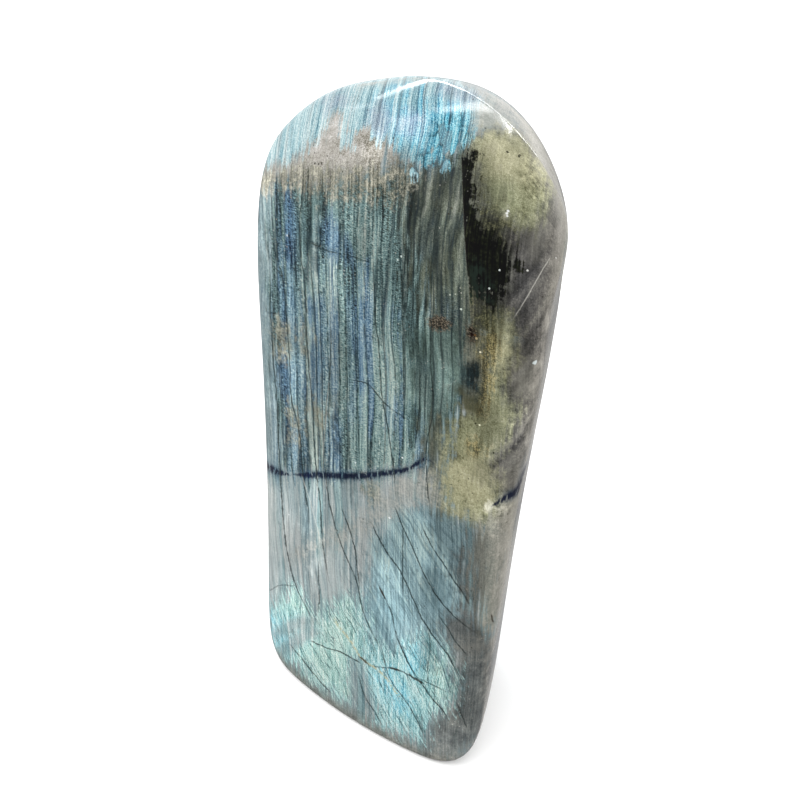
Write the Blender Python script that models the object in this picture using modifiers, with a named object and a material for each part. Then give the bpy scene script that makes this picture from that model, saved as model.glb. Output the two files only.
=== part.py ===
"""Polished labradorite freeform, standing on a flat sawn base.

One piece of stone: a broad, gently convex front face towards -Y, a narrower
back, a side face that runs back at a wedge angle on the right (+X), a domed
top that rolls back over a forehead to a crest near the back, and rounded
edges all round.  Metres, +Z up, origin at the middle of the base.
"""

import math

import bmesh
import bpy
from mathutils import Vector

# ---------------------------------------------------------------- dimensions
MM = 0.001

HEIGHT = 200.0          # base to crest

# Outline of the front face, seen square on: distance of each long edge from
# the middle plane, as a + b*h + c*h*h with h the height over HEIGHT.
LEFT_EDGE = (-46.8, 9.9, -15.1)
RIGHT_EDGE = (43.7, 6.1, 12.0)

LEAN = (9.5, -1.7)      # how far the front face leans back, b*h + c*h*h
DEPTH = (48.8, 1.4)     # front to back, a + b*h
FRONT_CROWN = 5.5       # convexity of the front face
BACK_CROWN = 4.0        # convexity of the back
LEFT_WEDGE = 18.0       # the back stops this much short of the front on the left
RIGHT_WEDGE = 27.0      # and this much on the right
SIDE_CROWN = 0.05       # swell of the two side faces, as a share of the width

COLUMN = 0.60           # inner columns of the cage, as a share of the half width
ROWS = (0.0, 0.25, 0.54, 1.0)
LEVELS = (0.0, 4.0, 15.0, 46.0, 84.0, 120.0, 148.0, 181.0, 202.0)

# Shoulders of the dome: how far its outer columns drop, and how wide it stays.
LEFT_SHOULDER_DROP = 14.0
RIGHT_SHOULDER_DROP = 28.1
SHOULDER_SHARE = {5: 0.04, 6: 0.22, 7: 0.62, 8: 1.0}
LEFT_WIDTH = {7: 0.95, 8: 0.90}
RIGHT_WIDTH = {7: 0.93, 8: 0.90}

# Forehead and crest: how far the top of the front rolls back and the top of
# the back rolls forward, and the drop of each row of the cap.
FOREHEAD_ROLL = 11.0
CREST_ROLL = 2.7
FOREHEAD_SHARE = {7: 0.14, 8: 1.0}
CREST_SHARE = {7: 0.10, 8: 1.0}
CAP_DROP = (8.0, 0.0, 0.0, 7.0)

# Foot: the sawn base is a little narrower than the body, with a small round.
FOOT_LEFT = 8.0
FOOT_RIGHT = 7.0
FOOT_FRONT = -1.0
FOOT_SHARE = {0: 1.0, 1: 0.25}
FOOT_ROUND = 4.0

# Crest: the tighter edge at the top right, from the middle of the crest round
# to the right side face, as a run of cage vertices and the sharpness between.
CREST_RUN = ((1, 2, 8), (2, 2, 8), (3, 2, 8), (4, 2, 8), (4, 2, 7), (4, 2, 6))
CREST_SHARP = (0.35, 0.7, 0.7, 0.45, 0.2)

SUBDIVISIONS = 2

NX, NY, NZ = 4, 3, len(LEVELS) - 1
COLUMNS = (-1.0, -COLUMN, 0.0, COLUMN, 1.0)


# ------------------------------------------------------------------- the cage
def edge_of(coeffs, h):
    return coeffs[0] + coeffs[1] * h + coeffs[2] * h * h


def cage_point(i, j, k):
    """Place of the cage vertex in column i, row j and level k, in millimetres."""
    s, t = COLUMNS[i], ROWS[j]
    drop = LEFT_SHOULDER_DROP if s < 0.0 else RIGHT_SHOULDER_DROP
    z = LEVELS[k] - SHOULDER_SHARE.get(k, 0.0) * drop * s * s
    h = z / HEIGHT

    left, right = edge_of(LEFT_EDGE, h), edge_of(RIGHT_EDGE, h)
    foot = FOOT_SHARE.get(k, 0.0)
    left += FOOT_LEFT * foot
    right -= FOOT_RIGHT * foot
    middle = (left + right) / 2.0
    left += LEFT_WEDGE * t
    right -= RIGHT_WEDGE * t
    left = middle + (left - middle) * LEFT_WIDTH.get(k, 1.0)
    right = middle + (right - middle) * RIGHT_WIDTH.get(k, 1.0)
    half = (right - left) / 2.0 * (1.0 + SIDE_CROWN * math.sin(math.pi * t))
    x = (left + right) / 2.0 + half * s

    plane = LEAN[0] * h + LEAN[1] * h * h
    crown = 1.0 - s * s
    front = plane + FOOT_FRONT * foot + FOREHEAD_ROLL * FOREHEAD_SHARE.get(k, 0.0)
    front -= FRONT_CROWN * crown
    back = plane + DEPTH[0] + DEPTH[1] * h - CREST_ROLL * CREST_SHARE.get(k, 0.0)
    back += BACK_CROWN * crown
    y = front + t * (back - front)
    if k == NZ:
        z -= CAP_DROP[j]
    return x, y, z


def base_ring_in(points, ring_verts, inner_verts, centre):
    """Pull the ring under the base inwards by FOOT_ROUND."""
    for n in ring_verts:
        away = points[n] - centre
        points[n] = centre + away * (1.0 - FOOT_ROUND / away.length)
    for n in inner_verts:
        points[n] = centre + (points[n] - centre) * 0.93


def stone_mesh(name):
    """Cube cut into NX x NY x NZ cells, its vertices placed by cage_point."""
    bm = bmesh.new()
    bmesh.ops.create_cube(bm, size=2.0)
    for axis, cells in enumerate((NX, NY, NZ)):
        along = [e for e in bm.edges
                 if abs((e.verts[0].co - e.verts[1].co)[axis]) > 1e-6]
        bmesh.ops.subdivide_edges(bm, edges=along, cuts=cells - 1, use_grid_fill=True)
    under = [f for f in bm.faces if all(v.co.z < -0.9999 for v in f.verts)]
    bmesh.ops.inset_region(bm, faces=under, thickness=0.05, use_even_offset=True)
    bm.verts.index_update()
    bm.verts.ensure_lookup_table()

    cells, ring, inner, under_all = {}, [], [], []
    for v in bm.verts:
        i = round((v.co.x + 1.0) / 2.0 * NX)
        j = round((v.co.y + 1.0) / 2.0 * NY)
        k = round((v.co.z + 1.0) / 2.0 * NZ)
        cells[v.index] = (i, j, k)
        if k == 0:
            under_all.append(v.index)
            reach = max(abs(v.co.x), abs(v.co.y))
            if reach < 0.9999:
                (ring if reach > 0.94 else inner).append(v.index)

    points = {n: Vector(cage_point(*ijk)) for n, ijk in cells.items()}
    centre = sum((points[n] for n in under_all), Vector()) / len(under_all)
    base_ring_in(points, ring, inner, centre)

    crease = bm.edges.layers.float.new("crease_edge")
    for e in bm.edges:
        e[crease] = crest_crease(*(cells[v.index] for v in e.verts))
    for v in bm.verts:
        v.co = points[v.index] * MM
    mesh = bpy.data.meshes.new(name)
    bm.to_mesh(mesh)
    bm.free()
    mesh.shade_smooth()
    return mesh


def crest_crease(a, b):
    """Sharpness of the cage edge a-b: only the crest at the top right has any."""
    run = CREST_RUN
    if a in run and b in run and abs(run.index(a) - run.index(b)) == 1:
        return CREST_SHARP[min(run.index(a), run.index(b))]
    return 0.0


def settle(obj):
    """Put the finished surface's height at HEIGHT and its base on the origin."""
    seen = obj.evaluated_get(bpy.context.evaluated_depsgraph_get()).data
    xs, ys, zs = zip(*(v.co for v in seen.vertices))
    shift = Vector(((min(xs) + max(xs)) / 2.0, (min(ys) + max(ys)) / 2.0, 0.0))
    stretch = HEIGHT * MM / max(zs)
    for v in obj.data.vertices:
        v.co -= shift
        v.co.z *= stretch


def stone_material():
    mat = bpy.data.materials.new("labradorite_polished")
    mat.use_nodes = True
    bsdf = mat.node_tree.nodes["Principled BSDF"]
    bsdf.inputs["Base Color"].default_value = (0.135, 0.190, 0.215, 1.0)
    bsdf.inputs["Roughness"].default_value = 0.16
    bsdf.inputs["Metallic"].default_value = 0.0
    bsdf.inputs["IOR"].default_value = 1.56
    mat.diffuse_color = (0.135, 0.190, 0.215, 1.0)
    return mat


def main():
    for obj in list(bpy.data.objects):
        bpy.data.objects.remove(obj)
    parts = bpy.data.collections.new("polished_labradorite")
    bpy.context.scene.collection.children.link(parts)

    stone = bpy.data.objects.new("stone", stone_mesh("stone"))
    parts.objects.link(stone)
    stone.data.materials.append(stone_material())
    soft = stone.modifiers.new("soft_form", "SUBSURF")
    soft.levels = SUBDIVISIONS
    soft.render_levels = SUBDIVISIONS
    settle(stone)


main()
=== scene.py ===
"""Looks of the polished labradorite freeform: its fine surface, its stone, light, floor and camera."""

import math

import bmesh
import bpy
import numpy as np
from mathutils import Matrix, Vector

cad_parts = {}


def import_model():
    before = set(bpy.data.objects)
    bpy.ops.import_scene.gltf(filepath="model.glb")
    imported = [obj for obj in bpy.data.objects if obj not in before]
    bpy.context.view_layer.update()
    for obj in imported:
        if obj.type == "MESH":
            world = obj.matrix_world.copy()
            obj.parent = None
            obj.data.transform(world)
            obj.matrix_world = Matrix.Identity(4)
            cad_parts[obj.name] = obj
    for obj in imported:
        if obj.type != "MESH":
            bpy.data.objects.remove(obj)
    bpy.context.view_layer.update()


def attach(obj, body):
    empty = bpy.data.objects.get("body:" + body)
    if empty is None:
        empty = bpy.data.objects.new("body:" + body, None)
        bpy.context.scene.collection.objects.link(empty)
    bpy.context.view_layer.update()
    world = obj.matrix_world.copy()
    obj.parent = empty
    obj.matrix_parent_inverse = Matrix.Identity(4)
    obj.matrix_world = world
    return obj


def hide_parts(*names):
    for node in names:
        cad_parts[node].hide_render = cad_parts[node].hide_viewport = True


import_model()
SCENE = bpy.context.scene
MM = 0.001

# ------------------------------------------------------------------ the form
# The same cage as the CAD solid, subdivided further.
HEIGHT = 200.0
LEFT_EDGE = (-46.8, 9.9, -15.1)
RIGHT_EDGE = (43.7, 6.1, 12.0)
LEAN = (9.5, -1.7)
DEPTH = (48.8, 1.4)
FRONT_CROWN = 5.5
BACK_CROWN = 4.0
LEFT_WEDGE = 18.0
RIGHT_WEDGE = 27.0
SIDE_CROWN = 0.05
COLUMN = 0.60
ROWS = (0.0, 0.25, 0.54, 1.0)
LEVELS = (0.0, 4.0, 15.0, 46.0, 84.0, 120.0, 148.0, 181.0, 202.0)
LEFT_SHOULDER_DROP = 14.0
RIGHT_SHOULDER_DROP = 28.1
SHOULDER_SHARE = {5: 0.04, 6: 0.22, 7: 0.62, 8: 1.0}
LEFT_WIDTH = {7: 0.95, 8: 0.90}
RIGHT_WIDTH = {7: 0.93, 8: 0.90}
FOREHEAD_ROLL = 11.0
CREST_ROLL = 2.7
FOREHEAD_SHARE = {7: 0.14, 8: 1.0}
CREST_SHARE = {7: 0.10, 8: 1.0}
CAP_DROP = (8.0, 0.0, 0.0, 7.0)
FOOT_LEFT = 8.0
FOOT_RIGHT = 7.0
FOOT_FRONT = -1.0
FOOT_SHARE = {0: 1.0, 1: 0.25}
FOOT_ROUND = 4.0
CREST_RUN = ((1, 2, 8), (2, 2, 8), (3, 2, 8), (4, 2, 8), (4, 2, 7), (4, 2, 6))
CREST_SHARP = (0.5, 1.3, 1.5, 1.2, 0.6)
NX, NY, NZ = 4, 3, len(LEVELS) - 1
COLUMNS = (-1.0, -COLUMN, 0.0, COLUMN, 1.0)
CAD_SUBDIVISIONS = 2
FINE_SUBDIVISIONS = 4


def edge_of(coeffs, h):
    return coeffs[0] + coeffs[1] * h + coeffs[2] * h * h


def cage_point(i, j, k):
    """Place of the cage vertex in column i, row j and level k, in millimetres."""
    s, t = COLUMNS[i], ROWS[j]
    drop = LEFT_SHOULDER_DROP if s < 0.0 else RIGHT_SHOULDER_DROP
    z = LEVELS[k] - SHOULDER_SHARE.get(k, 0.0) * drop * s * s
    h = z / HEIGHT

    left, right = edge_of(LEFT_EDGE, h), edge_of(RIGHT_EDGE, h)
    foot = FOOT_SHARE.get(k, 0.0)
    left += FOOT_LEFT * foot
    right -= FOOT_RIGHT * foot
    middle = (left + right) / 2.0
    left += LEFT_WEDGE * t
    right -= RIGHT_WEDGE * t
    left = middle + (left - middle) * LEFT_WIDTH.get(k, 1.0)
    right = middle + (right - middle) * RIGHT_WIDTH.get(k, 1.0)
    half = (right - left) / 2.0 * (1.0 + SIDE_CROWN * math.sin(math.pi * t))
    x = (left + right) / 2.0 + half * s

    plane = LEAN[0] * h + LEAN[1] * h * h
    crown = 1.0 - s * s
    front = plane + FOOT_FRONT * foot + FOREHEAD_ROLL * FOREHEAD_SHARE.get(k, 0.0)
    front -= FRONT_CROWN * crown
    back = plane + DEPTH[0] + DEPTH[1] * h - CREST_ROLL * CREST_SHARE.get(k, 0.0)
    back += BACK_CROWN * crown
    y = front + t * (back - front)
    if k == NZ:
        z -= CAP_DROP[j]
    return x, y, z


def crest_crease(a, b):
    """Sharpness of the cage edge a-b: only the crest at the top right has any."""
    run = CREST_RUN
    if a in run and b in run and abs(run.index(a) - run.index(b)) == 1:
        return CREST_SHARP[min(run.index(a), run.index(b))]
    return 0.0


def stone_mesh(name):
    """Cube cut into NX x NY x NZ cells, its vertices placed by cage_point."""
    bm = bmesh.new()
    bmesh.ops.create_cube(bm, size=2.0)
    for axis, cells in enumerate((NX, NY, NZ)):
        along = [e for e in bm.edges
                 if abs((e.verts[0].co - e.verts[1].co)[axis]) > 1e-6]
        bmesh.ops.subdivide_edges(bm, edges=along, cuts=cells - 1, use_grid_fill=True)
    under = [f for f in bm.faces if all(v.co.z < -0.9999 for v in f.verts)]
    bmesh.ops.inset_region(bm, faces=under, thickness=0.05, use_even_offset=True)
    bm.verts.index_update()
    bm.verts.ensure_lookup_table()

    cells, ring, inner, under_all = {}, [], [], []
    for v in bm.verts:
        i = round((v.co.x + 1.0) / 2.0 * NX)
        j = round((v.co.y + 1.0) / 2.0 * NY)
        k = round((v.co.z + 1.0) / 2.0 * NZ)
        cells[v.index] = (i, j, k)
        if k == 0:
            under_all.append(v.index)
            reach = max(abs(v.co.x), abs(v.co.y))
            if reach < 0.9999:
                (ring if reach > 0.94 else inner).append(v.index)

    points = {n: Vector(cage_point(*ijk)) for n, ijk in cells.items()}
    centre = sum((points[n] for n in under_all), Vector()) / len(under_all)
    for n in ring:
        away = points[n] - centre
        points[n] = centre + away * (1.0 - FOOT_ROUND / away.length)
    for n in inner:
        points[n] = centre + (points[n] - centre) * 0.93

    crease = bm.edges.layers.float.new("crease_edge")
    for e in bm.edges:
        e[crease] = crest_crease(*(cells[v.index] for v in e.verts))
    for v in bm.verts:
        v.co = points[v.index] * MM
    mesh = bpy.data.meshes.new(name)
    bm.to_mesh(mesh)
    bm.free()
    return mesh


def evaluated(obj):
    return obj.evaluated_get(bpy.context.evaluated_depsgraph_get())


def fine_stone():
    """The stone as one dense mesh, settled on the origin exactly as the CAD solid is."""
    obj = bpy.data.objects.new("labradorite_stone", stone_mesh("labradorite_stone"))
    SCENE.collection.objects.link(obj)
    soft = obj.modifiers.new("soft_form", "SUBSURF")
    soft.levels = soft.render_levels = CAD_SUBDIVISIONS
    xs, ys, zs = zip(*(v.co for v in evaluated(obj).data.vertices))
    shift = Vector(((min(xs) + max(xs)) / 2.0, (min(ys) + max(ys)) / 2.0, 0.0))
    stretch = HEIGHT * MM / max(zs)
    for v in obj.data.vertices:
        v.co -= shift
        v.co.z *= stretch
    soft.levels = soft.render_levels = FINE_SUBDIVISIONS
    fine = bpy.data.meshes.new_from_object(evaluated(obj))
    obj.modifiers.clear()
    coarse, obj.data = obj.data, fine
    bpy.data.meshes.remove(coarse)
    fine.name = "labradorite_stone"
    for name in [a.name for a in fine.attributes if a.name.startswith("crease")]:
        fine.attributes.remove(fine.attributes[name])
    fine.shade_smooth()
    return obj


# ------------------------------------------------------------------ the view
# The camera that sees the front, the dome and a little of the right side.
AZIMUTH = 40.0
ELEVATION = 35.0
DISTANCE = 450.0
FOCAL_PIXELS = 1544.65          # for a picture 800 pixels wide
AIM = np.array((-9.11, -1.37, 103.76))
PICTURE = 800.0
UNITS_PER_MM = 3.4              # picture units in a millimetre of the front face


def view_axes():
    a, e = math.radians(AZIMUTH), math.radians(ELEVATION)
    back = np.array((math.sin(a) * math.cos(e), -math.cos(a) * math.cos(e), math.sin(e)))
    right = np.array((math.cos(a), math.sin(a), 0.0))
    return right, np.cross(back, right), back


def as_seen(points, normals):
    """Where the drawing plane of the front has each point, and how much the point faces it."""
    right, up, back = view_axes()
    eye = AIM + back * DISTANCE
    ray = points - eye
    depth = -(ray @ back)
    x = PICTURE / 2 + FOCAL_PIXELS * (ray @ right) / depth
    y = PICTURE / 2 - FOCAL_PIXELS * (ray @ up) / depth
    facing = -(normals * ray).sum(1) / np.linalg.norm(ray, axis=1)
    return np.stack((x, y), 1), facing


ROUND_MM_PER_DEGREE = 0.66


def round_the_back(points):
    """Unrolled sides and back: along the girth, 0 in the middle of the back, and height, in mm."""
    turn = np.degrees(np.arctan2(points[:, 0], -points[:, 1])) % 360.0 - 180.0
    return np.stack((turn * ROUND_MM_PER_DEGREE, points[:, 2]), 1)


# ------------------------------------------------------------------ the drawing of the markings
# Outlines of the regions and lines of the stone. FRONT is drawn on the plane that the
# camera sees, 800 x 800 units with y down; ROUND is drawn on the unrolled sides and back, in mm.
FRONT = {
    "striped": [
        [(215, 172), (270, 172), (300, 178), (360, 180), (392, 170), (416, 160), (440, 152), (462, 144),
         (478, 140), (480, 200), (482, 250), (488, 290), (490, 305), (480, 343), (484, 364), (478, 396), (461, 415),
         (450, 424), (446, 446), (446, 462), (436, 472), (404, 476), (351, 480), (281, 478), (215, 470)]],
    "rock_right": [
        [(456, 150), (464, 140), (476, 132), (500, 122), (530, 130), (570, 170), (620, 240), (620, 520),
         (520, 540), (500, 530), (470, 520), (452, 512), (448, 480), (452, 440), (462, 400), (470, 370),
         (462, 330), (456, 300), (456, 200)]],
    "rock_cut": [
        [(461, 148), (462, 175), (463, 207), (464, 232), (466, 262), (469, 285), (470, 306), (470, 318),
         (474, 330), (540, 340), (640, 330), (640, 60), (461, 60)]],
    "grey_panel": [
        [(396, 206), (398, 180), (412, 170), (430, 164), (446, 158), (462, 148), (480, 146), (484, 250), (490, 290),
         (490, 310), (480, 345),
         (476, 372), (462, 384), (444, 376), (430, 340), (420, 305), (404, 268), (398, 225)]],
    "brown_fall": [
        [(432, 412), (448, 424), (452, 446), (444, 470), (448, 500), (440, 520), (430, 505), (424, 470),
         (421, 440)]],
    "cap_fringe": [
        [(215, 172), (262, 172), (282, 170), (300, 164), (318, 164), (345, 166), (366, 166), (386, 160),
         (400, 158), (410, 168), (412, 182), (404, 192), (390, 200), (372, 198), (350, 196), (326, 194), (300, 192),
         (284, 188), (215, 186)]],
    "beige_top": [
        [(215, 158), (262, 163), (283, 156), (296, 150), (306, 136), (316, 120), (330, 104), (350, 96),
         (380, 96), (392, 120), (397, 144), (396, 160), (388, 172), (372, 176), (356, 178), (340, 178), (318, 186),
         (300, 188), (286, 180), (262, 184), (215, 180)]],
    "top_flash": [
        [(246, 172), (266, 168), (273, 164), (281, 164), (290, 162), (297, 156), (304, 152), (309, 145),
         (315, 143), (319, 134), (324, 125), (327, 116), (334, 113), (340, 116), (342, 126), (342, 140),
         (345, 149), (350, 149), (351, 134), (354, 127), (360, 132), (367, 129), (371, 138), (381, 141),
         (392, 140), (402, 153), (407, 160), (413, 162), (416, 175), (420, 178), (424, 170), (428, 164),
         (436, 164), (444, 165), (450, 160), (458, 155), (461, 149), (469, 145), (472, 134), (476, 125),
         (474, 117), (482, 108), (486, 98), (474, 84), (458, 74), (400, 62), (320, 76), (262, 118),
         (240, 160)]],
    "blue_core": [
        [(384, 84), (400, 80), (440, 82), (452, 92), (466, 100), (472, 112), (480, 125), (474, 140),
         (463, 152), (448, 168), (426, 172), (412, 164), (400, 151), (390, 138), (384, 118), (377, 100)]],
    "lilac_and_painted_highlight": [
        [(371, 104), (386, 100), (391, 118), (388, 142), (376, 143), (369, 126)],
        # painted highlight: this forehead patch stands for a soft highlight, tinted lilac
        [(392, 116), (422, 112), (424, 134), (398, 136)],
        [(440, 82), (470, 86), (488, 98), (476, 104), (456, 100), (438, 94)],
        [(324, 96), (346, 94), (338, 108), (324, 112)]],
    "crumbs": [
        [(436, 114), (476, 110), (480, 130), (465, 152), (448, 170), (420, 182), (406, 168), (428, 148)]],
    "ridge_side": [
        [(352, 70), (400, 64), (444, 66), (450, 79), (420, 77), (386, 80), (356, 86)],
        [(440, 72), (458, 80), (472, 86), (488, 94), (503, 103), (516, 119), (526, 141), (534, 163),
         (540, 180), (550, 200), (562, 232), (620, 232), (620, 90), (470, 50)]],
    "grey_top_right": [
        [(476, 98), (500, 104), (514, 120), (522, 134), (506, 136), (490, 133), (477, 136), (472, 120)]],
    "olive": [
        [(476, 140), (484, 135), (498, 133), (512, 136), (522, 142), (531, 155), (536, 168), (546, 178),
         (554, 188), (548, 202), (540, 214), (529, 226), (518, 226), (510, 220), (500, 216), (492, 206),
         (485, 190), (482, 172), (477, 160), (474, 149)],
        [(482, 313), (512, 319), (514, 343), (510, 362), (501, 371), (502, 396), (514, 407), (516, 413),
         (508, 432), (497, 450), (484, 464), (490, 482), (496, 499), (503, 513), (497, 522), (484, 526),
         (471, 518), (454, 516), (446, 505), (443, 492), (437, 484), (443, 471), (450, 458), (450, 445),
         (444, 433), (450, 420), (461, 414), (470, 402), (478, 396), (482, 385), (484, 364), (480, 343)]],
    "pale_olive": [
        [(482, 142), (500, 136), (516, 140), (530, 150), (542, 166), (550, 184), (540, 194), (526, 186),
         (514, 178), (500, 176), (488, 174), (482, 160)],
        [(445, 462), (460, 456), (474, 454), (486, 464), (492, 480), (499, 500), (496, 514), (482, 512),
         (462, 508), (450, 498), (444, 480)],
        [(498, 330), (512, 336), (511, 360), (500, 368), (496, 350)]],
    "green_olive": [
        [(487, 186), (500, 184), (514, 190), (512, 212), (498, 214), (488, 204)]],
    "black": [
        [(440, 150), (468, 151), (473, 156), (474, 164), (472, 172), (476, 180), (475, 188), (478, 196),
         (475, 204), (474, 211), (478, 222), (486, 232), (492, 242), (488, 252), (440, 244)],
        [(440, 226), (466, 226), (480, 230), (492, 236), (502, 242), (512, 250), (516, 260), (516, 272),
         (508, 282), (503, 290), (499, 300), (494, 306), (488, 304), (484, 298), (478, 292), (471, 286),
         (440, 276)]],
    "black_soft": [
        [(470, 156), (476, 162), (480, 176), (484, 196), (498, 208), (509, 222), (512, 246), (508, 262),
         (494, 262), (476, 244), (470, 214), (472, 192), (472, 170)],
        [(468, 282), (500, 300), (498, 326), (488, 338), (474, 330), (468, 304)]],
    "green_deep": [
        [(468, 258), (480, 264), (488, 286), (486, 300), (476, 292), (468, 276)],
        [(462, 300), (474, 296), (478, 316), (474, 334), (464, 330), (460, 314)]],
    "mauve": [
        [(501, 230), (512, 223), (529, 231), (546, 204), (556, 190), (566, 235), (562, 300), (555, 353),
         (543, 402), (534, 439), (526, 471), (521, 488), (503, 492), (492, 478), (484, 463), (499, 449),
         (510, 430), (518, 411), (514, 406), (502, 399), (503, 389), (502, 372), (512, 360), (515, 343),
         (512, 321), (498, 310), (500, 294), (508, 284), (508, 258), (502, 247)]],
    "mauve_dark": [
        [(512, 226), (530, 234), (540, 222), (548, 208), (552, 230), (546, 270), (532, 300), (520, 312),
         (510, 300), (512, 262)],
        [(516, 306), (528, 296), (532, 306), (524, 322), (514, 330)],
        [(504, 432), (520, 420), (526, 436), (520, 470), (504, 478), (492, 462)]],
    # painted reflection: the pale strip down the rounded right side
    "right_side_painted_reflection": [
        [(556, 190), (575, 190), (580, 300), (560, 372), (545, 440), (530, 520), (515, 600), (500, 680),
         (490, 700), (486, 690), (497, 600), (497, 520), (505, 500), (523, 470), (528, 440), (536, 380),
         (548, 310), (555, 240)]],
    "mauve_pale": [
        [(512, 372), (528, 352), (536, 366), (530, 396), (518, 402), (510, 390)],
        [(502, 462), (514, 452), (520, 470), (512, 484), (502, 480)],
        [(524, 236), (534, 226), (548, 214), (546, 240), (530, 262)]],
    "gold": [
        [(486, 326), (496, 330), (498, 347), (494, 366), (492, 386), (487, 414), (480, 421), (478, 396),
         (482, 374), (481, 352)],
        [(470, 440), (480, 437), (485, 447), (480, 457), (470, 456)]],
    "rust": [
        [(466, 328), (474, 326), (478, 332), (477, 340), (473, 344), (468, 338)],
        [(427, 319), (436, 317), (446, 319), (451, 324), (448, 329), (438, 329), (430, 327)]],
    "brown_green": [
        [(456, 384), (468, 392), (480, 392), (484, 402), (480, 416), (468, 416), (460, 408)]],
    "teal_patch": [
        [(463, 370), (470, 364), (477, 360), (480, 368), (483, 380), (479, 391), (474, 400), (468, 392), (465, 381)]],
    "cream": [
        [(485, 503), (492, 503), (494, 510), (489, 514), (484, 510)],
        [(497, 508), (503, 510), (501, 516), (495, 514)],
        [(502, 208), (508, 206), (508, 219), (504, 219)]],
    "beige_low": [
        [(392, 476), (420, 472), (438, 474), (446, 490), (444, 504), (424, 502), (404, 502), (390, 512),
         (374, 526), (352, 538), (326, 547), (298, 560), (296, 552), (322, 538), (350, 526), (374, 508),
         (388, 494)]],
    "calm": [
        [(356, 604), (372, 590), (392, 596), (404, 620), (414, 646), (398, 654), (380, 650), (362, 634)],
        [(420, 560), (438, 566), (452, 596), (440, 604), (426, 590)]],
    "blue_low": [
        [(376, 540), (384, 521), (397, 508), (420, 504), (437, 505), (455, 516), (472, 528), (478, 545),
         (470, 580), (470, 612), (456, 636), (450, 680), (430, 722), (398, 722), (366, 692), (352, 652),
         (354, 610), (366, 580)]],
    # painted reflection: the rounded left rim made paler
    "left_rim_painted_reflection": [
        [(225, 280), (264, 282), (270, 312), (273, 364), (277, 400), (280, 450), (282, 474), (225, 474)],
        [(225, 172), (264, 172), (270, 196), (269, 240), (271, 290), (225, 300)]],
    "left_lavender": [
        [(225, 478), (282, 480), (286, 520), (286, 560), (280, 596), (262, 612), (225, 612)],
        [(306, 556), (330, 548), (352, 560), (350, 590), (334, 600), (314, 596)]],
    "dark_low": [
        [(459, 546), (466, 560), (472, 585), (474, 612), (481, 630), (492, 633), (500, 645), (500, 690),
         (486, 738), (470, 756), (444, 766), (424, 748), (430, 717), (443, 713), (453, 706), (459, 692),
         (457, 668), (450, 650), (440, 630), (446, 612), (459, 616), (462, 600), (458, 575)]],
    "pale_low_right": [
        [(478, 524), (500, 509), (516, 518), (514, 560), (508, 600), (500, 632), (483, 629), (476, 612),
         (474, 585), (470, 560), (472, 538)]],
    "bottom_flash": [
        [(262, 614), (272, 608), (280, 598), (290, 588), (300, 590), (308, 606), (318, 616), (333, 605),
         (344, 596), (356, 602), (364, 616), (376, 640), (390, 652), (402, 652), (412, 638), (430, 634),
         (440, 642), (450, 660), (455, 690), (451, 706), (442, 712), (430, 716), (424, 741), (409, 738),
         (384, 730), (368, 712), (366, 690), (359, 664), (352, 660), (353, 704), (338, 699), (324, 690),
         (314, 684), (290, 660), (268, 644)]],
    "mint": [
        [(284, 590), (300, 590), (310, 608), (324, 614), (334, 606), (345, 596), (356, 604), (362, 640),
         (352, 652), (353, 704), (326, 690), (302, 670), (300, 648), (322, 636), (300, 616), (284, 612)],
        [(428, 660), (446, 656), (452, 690), (444, 708), (432, 700)]],
    "bright_blue": [
        [(258, 618), (276, 620), (284, 634), (280, 648), (266, 644)],
        [(374, 672), (390, 668), (402, 680), (410, 700), (404, 716), (392, 706), (380, 690)],
        [(404, 650), (416, 640), (424, 652), (418, 676), (408, 672)]],
    "flash_bars": [
        [(273, 634), (280, 626), (302, 617), (316, 618), (312, 627), (292, 631), (280, 637)],
        [(278, 654), (283, 644), (297, 634), (312, 628), (320, 633), (300, 643), (288, 654)],
        [(352, 660), (361, 664), (369, 690), (375, 716), (362, 709), (354, 700), (352, 680)]],
    "haze": [
        [(402, 336), (424, 322), (446, 322), (464, 336), (470, 360), (470, 400), (464, 440), (466, 476), (440, 484),
         (428, 462), (418, 440), (410, 410), (400, 380)]],
    "pale_wash_and_painted_highlight": [
        [(275, 412), (298, 410), (301, 452), (314, 474), (318, 520), (296, 532), (277, 524)],
        [(268, 564), (311, 570), (314, 668), (276, 652)],
        [(276, 170), (298, 170), (299, 238), (279, 238)],
        [(464, 138), (500, 138), (500, 181), (472, 181)],
        [(440, 288), (461, 288), (461, 322), (442, 322)],
        # painted highlight: the next two washes lighten the dome along its second streak and on the forehead
        [(442, 102), (476, 102), (476, 128), (446, 128)],
        [(390, 114), (423, 110), (425, 136), (396, 138)],
        [(470, 670), (485, 670), (483, 690), (472, 690)]],
    "lighter": [
        # painted reflection: the first patch lightens the rounded left rim
        [(256, 174), (274, 174), (275, 236), (273, 252), (256, 252)],
        [(284, 190), (299, 186), (300, 250), (300, 300), (286, 330), (282, 260)],
        [(306, 474), (318, 474), (322, 500), (320, 570), (308, 570)],
        [(446, 246), (462, 246), (466, 300), (464, 322), (447, 322)],
        [(370, 564), (392, 560), (412, 590), (420, 630), (406, 654), (384, 622)],
        [(270, 262), (285, 258), (287, 322), (272, 324)],
        [(510, 412), (530, 412), (528, 440), (512, 440)],
        [(482, 506), (501, 506), (499, 530), (485, 530)],
        [(446, 206), (458, 206), (458, 242), (448, 242)],
        [(422, 250), (435, 250), (436, 298), (426, 298)],
        [(316, 250), (326, 250), (326, 284), (318, 284)],
        [(288, 240), (298, 240), (298, 278), (289, 278)],
        [(386, 200), (401, 198), (402, 262), (390, 262)],
        [(364, 136), (381, 136), (380, 162), (366, 162)],
        [(268, 350), (304, 350), (303, 408), (270, 408)],
        [(337, 256), (352, 260), (355, 324), (348, 324), (338, 300)],
        [(430, 728), (478, 728), (472, 758), (436, 758)],
        [(538, 320), (552, 316), (546, 364), (536, 362)],
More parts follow.
